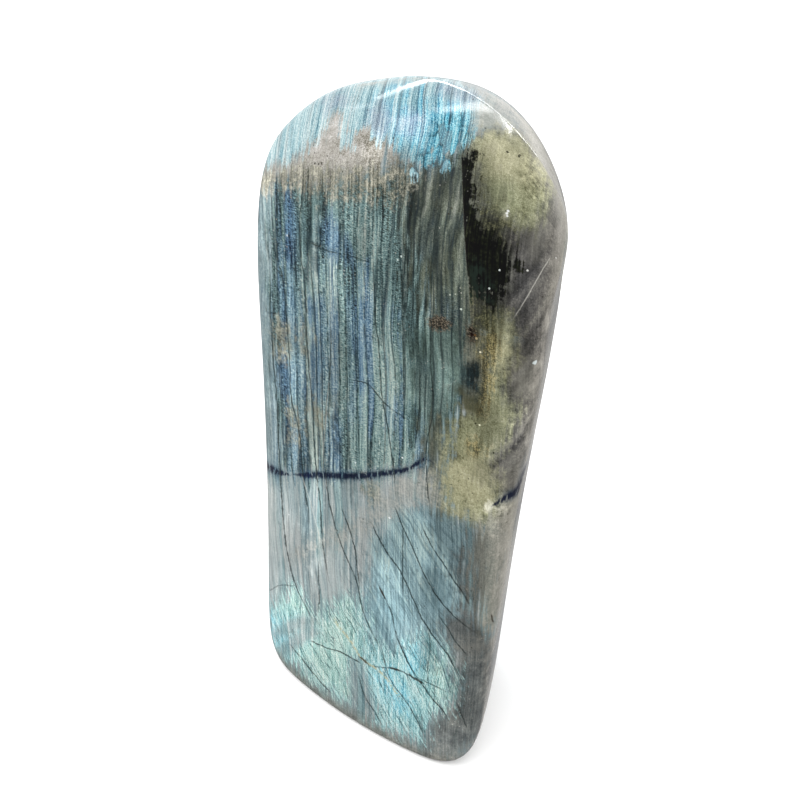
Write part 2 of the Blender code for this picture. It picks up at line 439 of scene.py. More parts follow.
        [(526, 156), (540, 162), (548, 182), (546, 200), (530, 194)],
        [(320, 206), (331, 204), (331, 248), (321, 248)],
        [(338, 202), (351, 202), (350, 246), (339, 246)]],
    "darker": [
        [(428, 508), (456, 514), (484, 530), (486, 560), (484, 616), (464, 604), (444, 570), (432, 540)],
        [(398, 246), (410, 250), (418, 300), (424, 350), (436, 378), (450, 406), (446, 436), (428, 424), (412, 380),
         (402, 310)],
        [(474, 212), (500, 210), (520, 230), (516, 270), (510, 300), (506, 342), (488, 340), (476, 290)],
        [(508, 304), (534, 304), (532, 372), (512, 372)],
        [(519, 224), (535, 226), (535, 261), (521, 261)],
        [(472, 461), (492, 461), (490, 482), (475, 481)],
        [(434, 326), (462, 328), (462, 362), (438, 362)],
        [(462, 626), (488, 632), (486, 661), (465, 659)],
        [(394, 147), (429, 147), (429, 168), (397, 169)],
        [(447, 650), (462, 656), (466, 716), (450, 716)],
        [(418, 566), (452, 570), (450, 604), (424, 602)],
        [(403, 310), (419, 312), (424, 360), (408, 360)],
        [(343, 472), (361, 472), (360, 497), (345, 497)],
        [(462, 322), (477, 324), (477, 360), (464, 360)],
        [(470, 142), (498, 142), (502, 206), (486, 208), (474, 176)],
        [(464, 270), (484, 270), (490, 330), (486, 380), (468, 378)],
        [(302, 332), (319, 332), (321, 446), (306, 446)],
        [(327, 326), (344, 326), (344, 416), (330, 416)],
        [(472, 406), (500, 404), (498, 448), (476, 446)],
        [(356, 210), (369, 210), (368, 266), (356, 266)],
        [(416, 638), (436, 636), (436, 668), (420, 668)],
        [(492, 182), (510, 184), (508, 206), (494, 204)],
        [(512, 480), (528, 476), (528, 504), (514, 502)]],
    "greener": [
        [(296, 180), (340, 184), (396, 184), (408, 240), (426, 290), (440, 330), (440, 352), (420, 352), (398, 318),
         (376, 270), (340, 220), (300, 200)],
        [(338, 440), (360, 430), (400, 440), (404, 470), (350, 474)]],
    "dark_bands": [
        [(277, 178), (281, 178), (282, 236), (280, 256), (278, 236)],
        [(302, 178), (320, 180), (322, 202), (317, 220), (312, 252), (304, 256), (300, 222)],
        [(406, 178), (418, 174), (419, 216), (413, 262), (410, 296), (406, 262)],
        [(403, 242), (421, 244), (423, 282), (421, 316), (421, 359), (406, 359), (404, 300)],
        [(376, 184), (385, 190), (385, 218), (376, 214)],
        [(345, 238), (352, 240), (354, 290), (347, 320), (344, 280)],
        [(410, 400), (420, 404), (418, 440), (408, 452), (406, 424)],
        [(424, 330), (432, 338), (434, 372), (426, 370)],
        [(288, 236), (298, 246), (300, 300), (292, 280)],
        [(419, 248), (430, 250), (432, 284), (422, 292)]],
    "navy_bands": [
        [(311, 340), (322, 340), (322, 398), (313, 398)],
        [(330, 330), (338, 330), (337, 395), (329, 395)],
        [(331, 200), (338, 200), (338, 242), (332, 242)],
        [(308, 300), (320, 300), (316, 330), (309, 330)],
        [(308, 326), (322, 324), (324, 402), (312, 404)],
        [(328, 311), (341, 310), (340, 346), (335, 394), (327, 362)],
        [(283, 188), (297, 192), (299, 258), (286, 264)],
        [(325, 196), (340, 204), (340, 262), (328, 256)],
        [(272, 352), (284, 356), (288, 404), (278, 400)],
        [(354, 300), (370, 296), (371, 388), (356, 392)],
        [(328, 412), (346, 408), (344, 470), (326, 470)]],
    "pale_bands": [
        [(320, 254), (327, 250), (331, 290), (330, 340), (328, 380), (325, 420), (321, 474), (315, 474), (319, 420),
         (322, 380), (324, 330), (324, 290)],
        [(343, 264), (349, 264), (347, 320), (344, 360), (340, 420), (335, 420), (338, 360), (341, 320)],
        [(366, 270), (371, 270), (375, 330), (377, 392), (371, 392), (368, 330)],
        [(371, 310), (382, 310), (384, 408), (375, 408), (372, 360)],
        [(321, 376), (329, 372), (328, 472), (318, 464)],
        [(336, 330), (346, 330), (343, 432), (336, 420)],
        [(352, 210), (363, 204), (363, 252), (354, 258)],
        [(317, 260), (327, 256), (329, 292), (320, 302)],
        [(386, 330), (400, 326), (403, 400), (390, 412)],
        [(296, 196), (301, 196), (302, 270), (297, 262)],
        [(366, 214), (375, 214), (376, 268), (368, 262)],
        [(434, 376), (456, 384), (452, 410), (436, 412)],
        [(436, 202), (450, 182), (460, 174), (460, 236), (455, 290), (445, 296), (437, 250)],
        [(449, 300), (461, 304), (464, 340), (461, 382), (450, 376)]],
    "ochre": [
        [(275, 320), (287, 322), (294, 344), (288, 360), (276, 352)],
        [(294, 327), (305, 330), (305, 352), (296, 354)],
        [(312, 400), (320, 402), (324, 420), (318, 429), (311, 419)],
        [(290, 404), (298, 408), (300, 440), (294, 446)],
        [(334, 684), (342, 686), (343, 692), (336, 692)],
        [(366, 470), (374, 482), (380, 500), (372, 500), (364, 484)]],
}

ROUND = {
    "striped": [
        [(30, 84), (44, 82), (58, 81), (72, 78), (96, 76), (96, 186), (80, 182), (66, 186), (52, 180), (44, 168),
         (40, 150), (36, 132), (33, 112), (26, 100)],
        [(-30, 60), (-24, 96), (-20, 140), (-14, 166), (-6, 172), (0, 150), (-4, 118), (-8, 90), (-12, 60),
         (-20, 48)]],
    "rock_right": [
        [(-96, 186), (-60, 190), (-34, 188), (-18, 180), (-12, 160), (-15, 136), (-10, 112), (-14, 84), (-12, 60),
         (-18, 36), (-24, 14), (-34, 20), (-50, 40), (-96, 60)]],
    "rock_cut": [[(-120, 220), (-10, 220), (-14, 150), (-12, 110), (-16, 96), (-120, 90)]],
    "grey_panel": [[(-18, 150), (-8, 168), (-2, 150), (-6, 118), (-12, 96), (-20, 112)]],
    "brown_fall": [[(20, 92), (26, 84), (24, 62), (18, 56), (16, 74)]],
    "cap_fringe": [
        [(-14, 166), (0, 172), (16, 166), (30, 172), (44, 164), (58, 170), (72, 163), (96, 162), (96, 172), (70, 176),
         (44, 176), (20, 178), (-12, 178)]],
    "beige_top": [
        [(-14, 168), (0, 176), (14, 170), (26, 178), (40, 170), (54, 175), (66, 168), (80, 173), (96, 166), (96, 182),
         (78, 186), (60, 181), (44, 190), (20, 186), (4, 192), (-12, 184)]],
    "top_flash": [
        [(2, 178), (9, 172), (13, 156), (15, 136), (12, 118), (7, 104), (3, 116), (0, 140), (-1, 162)],
        [(14, 168), (20, 176), (27, 170), (31, 150), (29, 132), (25, 112), (20, 98), (16, 116), (15, 142)],
        [(31, 160), (35, 166), (38, 150), (37, 134), (33, 124), (31, 140)],
        [(50, 178), (60, 170), (72, 173), (84, 168), (96, 170), (96, 215), (30, 215), (8, 200), (14, 190), (28, 184),
         (38, 189)]],
    "blue_core": [
        [(0, 172), (9, 168), (13, 150), (14, 132), (10, 116), (4, 124), (0, 146)],
        [(18, 150), (24, 158), (28, 146), (24, 128), (19, 130)]],
    "lilac_and_painted_highlight": [[(22, 172), (30, 164), (31, 150), (26, 146), (21, 158)]],
    "crumbs": [[(2, 116), (12, 118), (18, 112), (14, 106), (5, 108)]],
    "ridge_side": [[(-78, 175), (-60, 168), (-40, 176), (-20, 184), (-10, 200), (-20, 215), (-78, 215)]],
    "grey_top_right": [],
    "olive": [
        [(-54, 176), (-44, 170), (-36, 152), (-42, 140), (-52, 146), (-58, 162)],
        [(-30, 96), (-14, 92), (-6, 76), (-10, 52), (-20, 44), (-30, 60)]],
    "pale_olive": [[(-26, 88), (-14, 84), (-12, 66), (-20, 56), (-27, 68)]],
    "green_olive": [[(-50, 168), (-44, 160), (-44, 148), (-52, 152)]],
    "black": [[(-46, 150), (-40, 152), (-34, 130), (-36, 108), (-42, 100), (-46, 118)]],
    "black_soft": [[(-50, 158), (-38, 160), (-28, 130), (-32, 100), (-44, 92), (-50, 118)]],
    "green_deep": [[(-42, 126), (-38, 120), (-38, 108), (-42, 108)]],
    "mauve": [
        [(-90, 176), (-64, 172), (-54, 160), (-48, 140), (-32, 124), (-30, 104), (-44, 96), (-52, 86),
         (-62, 90), (-90, 96)],
        [(-26, 158), (-18, 162), (-14, 140), (-16, 118), (-24, 112), (-29, 132)],
        [(-34, 52), (-24, 58), (-16, 40), (-24, 26), (-34, 34)]],
    "mauve_dark": [[(-60, 150), (-52, 146), (-48, 120), (-54, 104), (-62, 116)]],
    "right_side_painted_reflection": [
        [(-82, 188), (-66, 186), (-64, 168), (-70, 150), (-66, 134), (-60, 124), (-66, 108), (-73, 96), (-82, 100)],
        [(-84, 92), (-72, 86), (-62, 72), (-66, 58), (-74, 44), (-84, 50)],
        [(-84, 36), (-70, 30), (-64, 18), (-70, 6), (-84, 8)]],
    "mauve_pale": [[(-72, 150), (-62, 152), (-58, 132), (-66, 120), (-72, 130)]],
    "gold": [[(-34, 110), (-30, 104), (-27, 82), (-30, 72), (-34, 86)]],
    "rust": [],
    "brown_green": [[(-28, 60), (-22, 56), (-20, 46), (-26, 46)]],
    "teal_patch": [[(40, 128), (45, 126), (45, 114), (40, 114)]],
    "cream": [],
    "beige_low": [[(0, 92), (24, 84), (44, 74), (44, 68), (24, 74), (0, 84)]],
    "calm": [[(0, 40), (16, 44), (20, 30), (6, 28)]],
    "blue_low": [
        [(-20, 56), (-10, 74), (6, 80), (24, 76), (40, 66), (44, 44), (36, 24), (20, 14), (0, 12), (-14, 24)]],
    "left_rim_painted_reflection": [[(72, 148), (77, 140), (96, 138), (96, 76), (74, 76)]],
    "left_lavender": [[(56, 76), (96, 74), (96, 20), (60, 26)]],
    "dark_low": [[(-90, 60), (-66, 56), (-52, 44), (-44, 26), (-36, 12), (-36, -4), (-90, -4)]],
    "pale_low_right": [[(-90, 90), (-70, 86), (-56, 78), (-50, 66), (-60, 56), (-70, 64), (-90, 58)]],
    "bottom_flash": [
        [(58, 60), (66, 54), (72, 60), (78, 46), (86, 50), (96, 40), (96, 8), (84, 12), (76, 6), (66, 14), (60, 24),
         (52, 20), (46, 30), (50, 42), (54, 46)],
        [(8, 40), (14, 48), (22, 40), (30, 44), (34, 30), (28, 18), (18, 22), (10, 14), (2, 20), (0, 30)],
        [(-30, 26), (-22, 30), (-14, 20), (-18, 10), (-28, 12)]],
    "mint": [[(56, 52), (66, 48), (72, 36), (64, 22), (54, 30)], [(6, 36), (16, 40), (20, 28), (10, 22)]],
    "bright_blue": [[(70, 30), (80, 26), (84, 14), (72, 14)], [(22, 36), (30, 38), (30, 26), (22, 26)]],
    "flash_bars": [
        [(46, 36), (60, 30), (80, 30), (80, 25), (58, 25), (46, 30)],
        [(0, 34), (20, 30), (36, 34), (36, 30), (20, 26), (0, 30)]],
    "haze": [],
    "pale_wash_and_painted_highlight": [],
    "lighter": [
        [(36, 150), (48, 154), (50, 120), (40, 110)],
        [(-70, 120), (-58, 126), (-56, 100), (-66, 96)],
        [(-30, 60), (-20, 62), (-18, 40), (-28, 36)]],
    "darker": [
        [(56, 160), (66, 164), (68, 130), (58, 126)],
        [(-50, 90), (-40, 92), (-38, 66), (-48, 62)],
        [(-6, 150), (0, 152), (2, 120), (-4, 116)]],
    "greener": [
        [(60, 120), (76, 124), (78, 96), (64, 94)],
        [(-10, 160), (6, 164), (4, 140), (-8, 136)]],
    "dark_bands": [
        [(34, 170), (38, 168), (38, 120), (35, 110)],
        [(52, 166), (56, 164), (57, 130), (53, 124)],
        [(66, 140), (69, 138), (69, 100), (66, 98)]],
    "navy_bands": [
        [(42, 160), (48, 156), (48, 118), (43, 110)],
        [(58, 128), (64, 124), (64, 92), (59, 90)],
        [(-40, 96), (-34, 92), (-32, 60), (-38, 56)]],
    "pale_bands": [[(48, 120), (52, 118), (52, 90), (48, 90)], [(70, 170), (74, 168), (74, 120), (70, 118)]],
    "ochre": [[(60, 86), (64, 84), (64, 74), (60, 74)]],
}

# The dark vein that runs round the stone: places, then its strength there.
VEIN_FRONT = [
    (225, 452, 0.0), (262, 460, 0.55), (268, 465, 0.75), (272, 470, 1.0), (281, 473, 0.9), (288, 474, 0.25),
    (300, 475, 0.35), (306, 475, 1.0), (324, 475, 1.0), (337, 476, 1.0), (351, 476, 1.0), (364, 476, 1.0),
    (380, 474, 0.95), (393, 472, 0.8), (404, 471, 0.8), (413, 467, 0.55), (421, 460, 0.5), (427, 458, 0.35),
    (440, 468, 0.0), (468, 496, 0.0), (488, 507, 0.0), (496, 504, 0.55), (507, 497, 0.95), (519, 490, 1.0),
    (525, 477, 0.9), (528, 463, 0.9), (545, 430, 0.8)]
VEIN_ROUND = [
    (-96, 113, 0.8), (-69, 111, 0.9), (-58, 116, 0.9), (-46, 117, 0.7), (-30, 112, 0.35), (-12, 103, 0.8),
    (4, 99, 1.0), (20, 94, 0.9), (36, 88, 0.4), (52, 83, 0.8), (66, 79, 0.9), (78, 75, 0.8), (96, 74, 0.8)]

# Cracks: strength, then the line.
CRACKS_FRONT = [
    (0.55, [(303, 238), (316, 246), (330, 252), (345, 254), (358, 259), (373, 263)]),
    (0.4, [(312, 294), (322, 292), (333, 294)]),
    (0.9, [(277, 166), (277, 214), (277, 262), (283, 275), (285, 302), (288, 332), (290, 375), (291, 400),
           (297, 420), (301, 445), (303, 477), (309, 514), (311, 530)]),
    (0.7, [(271, 311), (273, 364), (277, 396), (279, 450), (280, 471), (282, 503), (285, 540), (290, 568),
           (296, 587), (305, 606), (313, 619), (316, 634)]),
    (0.7, [(304, 151), (303, 190), (299, 220), (301, 262), (306, 284), (306, 330), (307, 343), (310, 381),
           (313, 407), (314, 439), (316, 470), (320, 500), (322, 540), (326, 566), (331, 589), (333, 600)]),
    (0.45, [(318, 205), (320, 240), (322, 262)]),
    (0.55, [(331, 300), (331, 321), (331, 364), (327, 396), (325, 428), (325, 465), (328, 500), (339, 540),
            (348, 561), (358, 583), (360, 600), (365, 619), (373, 634), (380, 647), (384, 666), (388, 677)]),
    (0.5, [(352, 207), (354, 241), (352, 270), (354, 300), (356, 353), (357, 396), (359, 450), (360, 478)]),
    (0.75, [(373, 258), (375, 305), (376, 330), (379, 343), (381, 396), (387, 420), (391, 450), (394, 470),
            (396, 500)]),
    (0.7, [(407, 190), (408, 220), (405, 262), (403, 284), (402, 313), (404, 375), (403, 416)]),
    (0.6, [(419, 364), (420, 386), (419, 418), (414, 450)]),
    (0.6, [(436, 211), (433, 252), (431, 275), (431, 328), (430, 356), (433, 390), (434, 415), (427, 437),
           (426, 458), (427, 488), (431, 514), (435, 535)]),
    (0.5, [(444, 180), (440, 215), (434, 250)]),
    (0.6, [(340, 505), (354, 540), (357, 568), (360, 590)]),
    (0.95, [(370, 520), (386, 553), (395, 562), (403, 576), (414, 600), (422, 619), (429, 630), (437, 640),
            (448, 655), (455, 668), (463, 683)]),
    (0.9, [(394, 505), (404, 530), (412, 546), (422, 570), (433, 591), (446, 608), (461, 623), (474, 632)]),
    (0.6, [(419, 520), (431, 546), (444, 564), (454, 581), (465, 596), (472, 609)]),
    (0.85, [(378, 586), (388, 604), (392, 613), (395, 632), (401, 647), (410, 668), (420, 681), (431, 698),
            (444, 711), (450, 724)]),
    (0.5, [(380, 640), (388, 677), (395, 687), (407, 702), (418, 722), (427, 741)]),
    (0.5, [(439, 615), (450, 632), (459, 647), (469, 656)]),
    (0.5, [(288, 642), (300, 656), (309, 668), (322, 684), (335, 696)]),
    (0.5, [(358, 672), (363, 694), (373, 709), (384, 728)]),
    (0.75, [(309, 640), (324, 647), (339, 651), (352, 658), (362, 664)]),
    (0.5, [(362, 664), (378, 667), (390, 668), (399, 670), (412, 677), (420, 679), (437, 687), (452, 694)]),
    (0.8, [(350, 380), (366, 382), (376, 392), (384, 404), (396, 412), (408, 420)]),
    (0.45, [(270, 262), (278, 270), (286, 285), (300, 292), (312, 292)]),
    (0.4, [(306, 240), (322, 246), (336, 250), (348, 262)]),
    (0.45, [(429, 689), (427, 668), (431, 651), (429, 634), (426, 622)]),
    (0.5, [(318, 613), (320, 593), (318, 578), (319, 560)]),
    (0.5, [(403, 524), (403, 551), (402, 568), (404, 600)]),
    (0.5, [(456, 700), (462, 716), (468, 730)]),
    (0.45, [(268, 592), (280, 584), (290, 586), (298, 586)]),
    (0.4, [(473, 150), (466, 160), (452, 158)]),
    (0.26, [(480, 434), (483, 452), (489, 474), (498, 500), (503, 520)]),
    (0.22, [(462, 464), (468, 490), (476, 524)]),
    (0.22, [(492, 466), (487, 492), (480, 520)]),
]
CRACKS_ROUND = [
    (0.8, [(30, 176), (31, 150), (29, 120), (32, 96), (30, 70), (24, 50)]),
    (0.6, [(48, 178), (47, 150), (50, 124), (49, 100), (52, 84), (50, 62)]),
    (0.6, [(62, 172), (63, 140), (61, 110), (64, 90), (62, 60)]),
    (0.7, [(-20, 150), (-18, 130), (-20, 110), (-16, 90), (-18, 70), (-12, 50), (-4, 34), (6, 22)]),
    (0.6, [(-36, 140), (-34, 118), (-36, 90), (-32, 66), (-34, 44)]),
    (0.5, [(6, 176), (8, 150), (6, 128), (9, 108)]),
    (0.6, [(10, 84), (12, 66), (18, 50), (26, 34), (36, 22), (42, 12)]),
    (0.6, [(-56, 150), (-54, 126), (-57, 100), (-54, 76), (-56, 50)]),
    (0.5, [(-50, 30), (-36, 34), (-20, 30), (-6, 34)]),
]

# Short brown gashes.
MARKS_FRONT = [
    (1.0, [(380, 588), (382, 592), (385, 598)]), (1.0, [(389, 667), (394, 669), (400, 671)]),
    (1.0, [(410, 674), (412, 678), (416, 679), (423, 683)]), (0.3, [(288, 632), (297, 632)]),
    (0.8, [(361, 657), (364, 660), (368, 664)]), 
    (0.6, [(491, 614), (493, 622)])]
MARKS_ROUND = [(0.8, [(10, 60), (13, 57)]), (0.7, [(-24, 120), (-21, 116)])]

# Fine golden cracks healed with pale grains, in the bottom flash.
GOLD_FRONT = [(1.0, [(333, 616), (339, 628), (348, 637), (356, 649), (360, 658), (373, 666), (384, 675),
                     (392, 687), (402, 700)]),
              (0.5, [(497, 342), (496, 362), (492, 386)])]
GOLD_ROUND = [(0.8, [(46, 52), (54, 44), (60, 34), (68, 26)])]

# Pale hairline scratches and healed joints.
PALE_FRONT = [(0.7, [(551, 256), (540, 274), (530, 292), (521, 307), (512, 321)]),
              (0.35, [(300, 470), (310, 500), (318, 530), (324, 560)]),
              (0.4, [(329, 375), (326, 420), (322, 462)]),
              (0.3, [(444, 388), (454, 382), (462, 376)])]
PALE_ROUND = [(0.5, [(-66, 150), (-60, 136), (-56, 120)])]


# Pits and pale grains that stand alone: place, radius in mm, colour.
DOTS_FRONT = [
    (508, 152, 0.40, "#1f1c14"), (518, 156, 0.40, "#1f1c14"), (521, 156, 0.30, "#1f1c14"), (535, 151, 0.34, "#241f18"),
    (315, 164, 0.36, "#26231b"), (318, 164, 0.30, "#26231b"), (322, 163, 0.34, "#26231b"),
    (507, 211, 0.34, "#eef1ef"), (507, 214, 0.36, "#eef1ef"), (508, 217, 0.26, "#eef1ef"), (535, 361, 0.62, "#dfe8e8"), (534, 364, 0.42, "#cdd6d4"),
    (499, 270, 0.26, "#dfe6e2"), (489, 289, 0.26, "#cfd8d2"), (401, 256, 0.30, "#d5e4de"), (398, 260, 0.26, "#d5e4de"),
    (287, 236, 0.30, "#dfe9e9"), (556, 258, 0.24, "#e6e6e0"), (527, 270, 0.28, "#e1e1da"), (355, 463, 0.30, "#e3eff0"),
    (402, 458, 0.28, "#e8f1f0"), (289, 514, 0.28, "#eef4f4"), (390, 518, 0.34, "#eef4f4"), (461, 309, 0.30, "#d4e0d4"),
    (472, 334, 0.60, "#1d130b"), (476, 339, 0.36, "#a89a78"), (470, 330, 0.50, "#150e07"), (475, 335, 0.36, "#5d452a"),
    (493, 452, 0.30, "#22251b"), (475, 423, 0.34, "#2a2b1e"), (479, 425, 0.28, "#efeecd"), (481, 352, 0.28, "#efe7c8"),
]
DOTS_ROUND = [(-48, 150, 0.4, "#1f1c14"), (-30, 80, 0.4, "#241f18"), (20, 120, 0.4, "#e4ecea"), (40, 60, 0.4, "#dfe9e9"),
              (60, 140, 0.3, "#dfe9e9"), (-20, 60, 0.4, "#22251b"), (0, 150, 0.4, "#26231b"), (-56, 60, 0.35, "#e6e6e0")]


# ------------------------------------------------------------------ fields from the drawing
def smooth_step(x, low, high):
    t = np.clip((x - low) / (high - low), 0.0, 1.0)
    return t * t * (3.0 - 2.0 * t)


def cut_corners(points, closed, rounds=2):
    """Corner cutting: turns a drawn line of straight runs into a smooth one."""
    p = np.array(points, float)
    for _ in range(rounds):
        q = np.roll(p, -1, 0) if closed else p[1:]
        a = p if closed else p[:-1]
        cut = np.stack((0.75 * a + 0.25 * q, 0.25 * a + 0.75 * q), 1).reshape(-1, p.shape[1])
        p = cut if closed else np.concatenate((p[:1], cut, p[-1:]))
    return p


def to_line(points, line, extra=None):
    """Distance to a line, the side of it, how far along, and the value of extra at the nearest place."""
    a, ab = line[:-1], line[1:] - line[:-1]
    long2 = np.maximum((ab ** 2).sum(1), 1e-9)
    runs = np.sqrt(long2)
    start = np.concatenate(((0.0,), np.cumsum(runs)[:-1]))
    ap = points[:, None, :] - a[None]
    t = np.clip((ap * ab[None]).sum(2) / long2, 0.0, 1.0)
    d2 = ((ap - t[..., None] * ab[None]) ** 2).sum(2)
    near = d2.argmin(1)
    row = np.arange(len(points))
    ap, t = ap[row, near], t[row, near]
    side = np.where(ab[near, 0] * ap[:, 1] - ab[near, 1] * ap[:, 0] < 0.0, -1.0, 1.0)
    along = start[near] + t * runs[near]
    value = None if extra is None else extra[near] * (1 - t) + extra[near + 1] * t
    return np.sqrt(d2[row, near]), side, along, start[-1] + runs[-1], value


def within(points, line, reach):
    """Which points are near enough to the box round a line."""
    low, high = line.min(0) - reach, line.max(0) + reach
    return np.nonzero(((points > low) & (points < high)).all(1))[0]


def region(points, outlines, scale=1.0, reach=50.0):
    """Signed distance to the edge of the drawn outlines, in picture units, positive inside."""
    best = np.full(len(points), -reach)
    for outline in outlines:
        ring = cut_corners(outline, True)
        closed = np.concatenate((ring, ring[:1]))
        near = within(points, closed, reach / scale)
        some = points[near]
        distance = to_line(some, closed)[0] * scale
        x0, y0, x1, y1 = *closed[:-1].T, *closed[1:].T
        px, py = some[:, :1], some[:, 1:]
        spans = (y0 > py) != (y1 > py)
        rise = np.where(np.abs(y1 - y0) < 1e-9, 1e-9, y1 - y0)
        inside = (spans & (px < (x1 - x0) * (py - y0) / rise + x0)).sum(1) % 2 == 1
        best[near] = np.maximum(best[near], np.where(inside, distance, -distance))
    return np.clip(best, -reach, reach)


def spread_over_channels(lines, gap):
    """Deals the lines into channels so that no two in a channel come closer than gap."""
    channels = []
    for strength, line in lines:
        smooth = cut_corners(line, False)
        for channel in channels:
            if all(to_line(smooth, other)[0].min() > gap for _, other in channel):
                channel.append((strength, smooth))
                break
        else:
            channels.append([(strength, smooth)])
    return channels


def line_fields(points, channel, scale=1.0):
    """Signed distance to the nearest line of a channel, and how strong that line is nearby."""
    signed = np.full(len(points), 40.0)
    strong = np.zeros(len(points))
    for strength, line in channel:
        near = within(points, line, 30.0 / scale)
        distance, side, along, whole, _ = to_line(points[near], line)
        distance = distance * scale
        taper = smooth_step(along, 0.0, 0.12 * whole) * smooth_step(whole - along, 0.0, 0.15 * whole)
        nearer = distance < np.abs(signed[near])
        signed[near] = np.where(nearer, side * distance, signed[near])
        power = strength * (0.25 + 0.75 * taper) * np.exp(-(distance / 4.5) ** 2)
        strong[near] = np.where(nearer, power, strong[near])
    return np.clip(signed, -40.0, 40.0), strong


def put(mesh, name, *values):
    """Stores one to four fields together as a colour of the vertices."""
    data = np.zeros((len(mesh.vertices), 4), np.float32)
    for n, value in enumerate(values):
        data[:, n] = value
    attribute = mesh.attributes.new(name, "FLOAT_COLOR", "POINT")
    attribute.data.foreach_set("color", data.ravel())


PLACE = {}          # where each field is kept: name -> (attribute, channel)


def draw_markings(obj):
    """Works out every field at every vertex and stores them on the mesh."""
    mesh = obj.data
    n = len(mesh.vertices)
    points = np.empty(n * 3)
    normals = np.empty(n * 3)
    mesh.vertices.foreach_get("co", points)
    mesh.vertices.foreach_get("normal", normals)
    points = points.reshape(-1, 3) / MM
    normals = normals.reshape(-1, 3)
    front, facing = as_seen(points, normals)
    back = round_the_back(points)
    seen = smooth_step(facing, 0.02, 0.24)
    switch = seen > 0.5
    quiet = smooth_step(np.abs(2.0 * seen - 1.0), 0.1, 0.6)

    fields = {}
    for name, outlines in FRONT.items():
        drawn = region(front, outlines)
        hidden = region(back, ROUND[name], UNITS_PER_MM)
        fields[name] = drawn * seen + hidden * (1.0 - seen)

    # The vein is one line all round.
    both = []
    for where, line, scale in ((front, VEIN_FRONT, 1.0), (back, VEIN_ROUND, UNITS_PER_MM)):
        smooth = cut_corners(line, False)
        distance, side, _, _, strength = to_line(where, smooth[:, :2], smooth[:, 2])
        both.append((distance * side * scale, strength))
    # y runs down in the picture and up on the unrolled sides, so the sides agree once one is turned
    fields["vein"] = np.clip(both[0][0] * seen - both[1][0] * (1.0 - seen), -40.0, 40.0)
    fields["vein_power"] = both[0][1] * seen + both[1][1] * (1.0 - seen)

    families = (("crack", CRACKS_FRONT, CRACKS_ROUND), ("gold_line", GOLD_FRONT, GOLD_ROUND),
                ("pale_line", PALE_FRONT, PALE_ROUND), ("mark", MARKS_FRONT, MARKS_ROUND))
    counts = {}
    for family, drawn, hidden in families:
        f = spread_over_channels(drawn, 13.0)
        h = spread_over_channels(hidden, 13.0 / UNITS_PER_MM)
        counts[family] = max(len(f), len(h))
        for c in range(counts[family]):
            fs, fp = line_fields(front, f[c] if c < len(f) else [])
            hs, hp = line_fields(back, h[c] if c < len(h) else [], UNITS_PER_MM)
            fields[f"{family}_{c}"] = np.where(switch, fs, hs)
            fields[f"{family}_{c}_power"] = np.where(switch, fp, hp) * quiet

    fields["seen"] = seen
    names = list(fields)
    for start in range(0, len(names), 4):
        group = names[start:start + 4]
        attribute = f"marks_{start // 4}"
        put(mesh, attribute, *(fields[g] for g in group))
        for c, g in enumerate(group):
            PLACE[g] = (attribute, c)
    nearest = [(((front - (x, y)) ** 2).sum(1) + 1e6 * (facing < 0.1), r, paint) for x, y, r, paint in DOTS_FRONT]
    nearest += [(((back - (x, y)) ** 2).sum(1) + 1e6 * (facing > -0.1), r, paint) for x, y, r, paint in DOTS_ROUND]
    dots = []
    for away, r, paint in nearest:
        few = np.argsort(away)[:3]
        share = 1.0 / (away[few] + 1e-3)
        dots.append((tuple((points[few] * share[:, None]).sum(0) / share.sum()), r, paint))
    return counts, dots


# ------------------------------------------------------------------ a small language for shader nodes
class Value:
    """A node's output, with arithmetic that makes Math nodes."""

    def __init__(self, socket):
        self.socket = socket

    def __add__(self, other):
        return math_node("ADD", self, other)

    __radd__ = __add__

    def __sub__(self, other):
        return math_node("SUBTRACT", self, other)

    def __rsub__(self, other):
        return math_node("SUBTRACT", other, self)

    def __mul__(self, other):
        return math_node("MULTIPLY", self, other)

    __rmul__ = __mul__

    def __truediv__(self, other):
        return math_node("DIVIDE", self, other)

    def __neg__(self):
        return math_node("MULTIPLY", self, -1.0)


TREE = None
MADE = {}


def node(kind, **settings):
    made = TREE.nodes.new(kind)
    for key, value in settings.items():
        setattr(made, key, value)
    count = len(TREE.nodes)
    made.location = (200 * (count % 40), -260 * (count // 40))
    return made


def plug(value, socket):
    if isinstance(value, Value):
        TREE.links.new(value.socket, socket)
    elif isinstance(value, tuple) and len(value) == 3 and socket.type == "RGBA":
        socket.default_value = (*value, 1.0)
    else:
        socket.default_value = value


def math_node(operation, a, b=None, c=None):
    made = node("ShaderNodeMath", operation=operation)
    for value, socket in zip((a, b, c), made.inputs):
        if value is not None:
            plug(value, socket)
    return Value(made.outputs[0])


def absolute(a):
    return math_node("ABSOLUTE", a)


def highest(a, b):
    return math_node("MAXIMUM", a, b)


def lowest(a, b):
    return math_node("MINIMUM", a, b)


def clamped(a):
    return lowest(highest(a, 0.0), 1.0)


def ease(value, low, high, out_low=0.0, out_high=1.0):
    """Smooth step from low to high."""
    made = node("ShaderNodeMapRange", interpolation_type="SMOOTHSTEP", clamp=False)
    for item, name in ((value, "Value"), (low, "From Min"), (high, "From Max"),
                       (out_low, "To Min"), (out_high, "To Max")):
        plug(item, made.inputs[name])
    return Value(made.outputs[0])


def vector(x, y, z):
    made = node("ShaderNodeCombineXYZ")
    for item, socket in zip((x, y, z), made.inputs):
        plug(item, socket)
    return Value(made.outputs[0])


def noise(where, scale=1.0, detail=2.0, rough=0.5, warp=0.0, dimensions="3D"):
    """Fractal noise, about 0.5 on average."""
    made = node("ShaderNodeTexNoise", noise_dimensions=dimensions)
    plug(where, made.inputs["Vector"])
    for item, name in ((scale, "Scale"), (detail, "Detail"), (rough, "Roughness"), (warp, "Distortion")):
        plug(item, made.inputs[name])
    return Value(made.outputs[0])


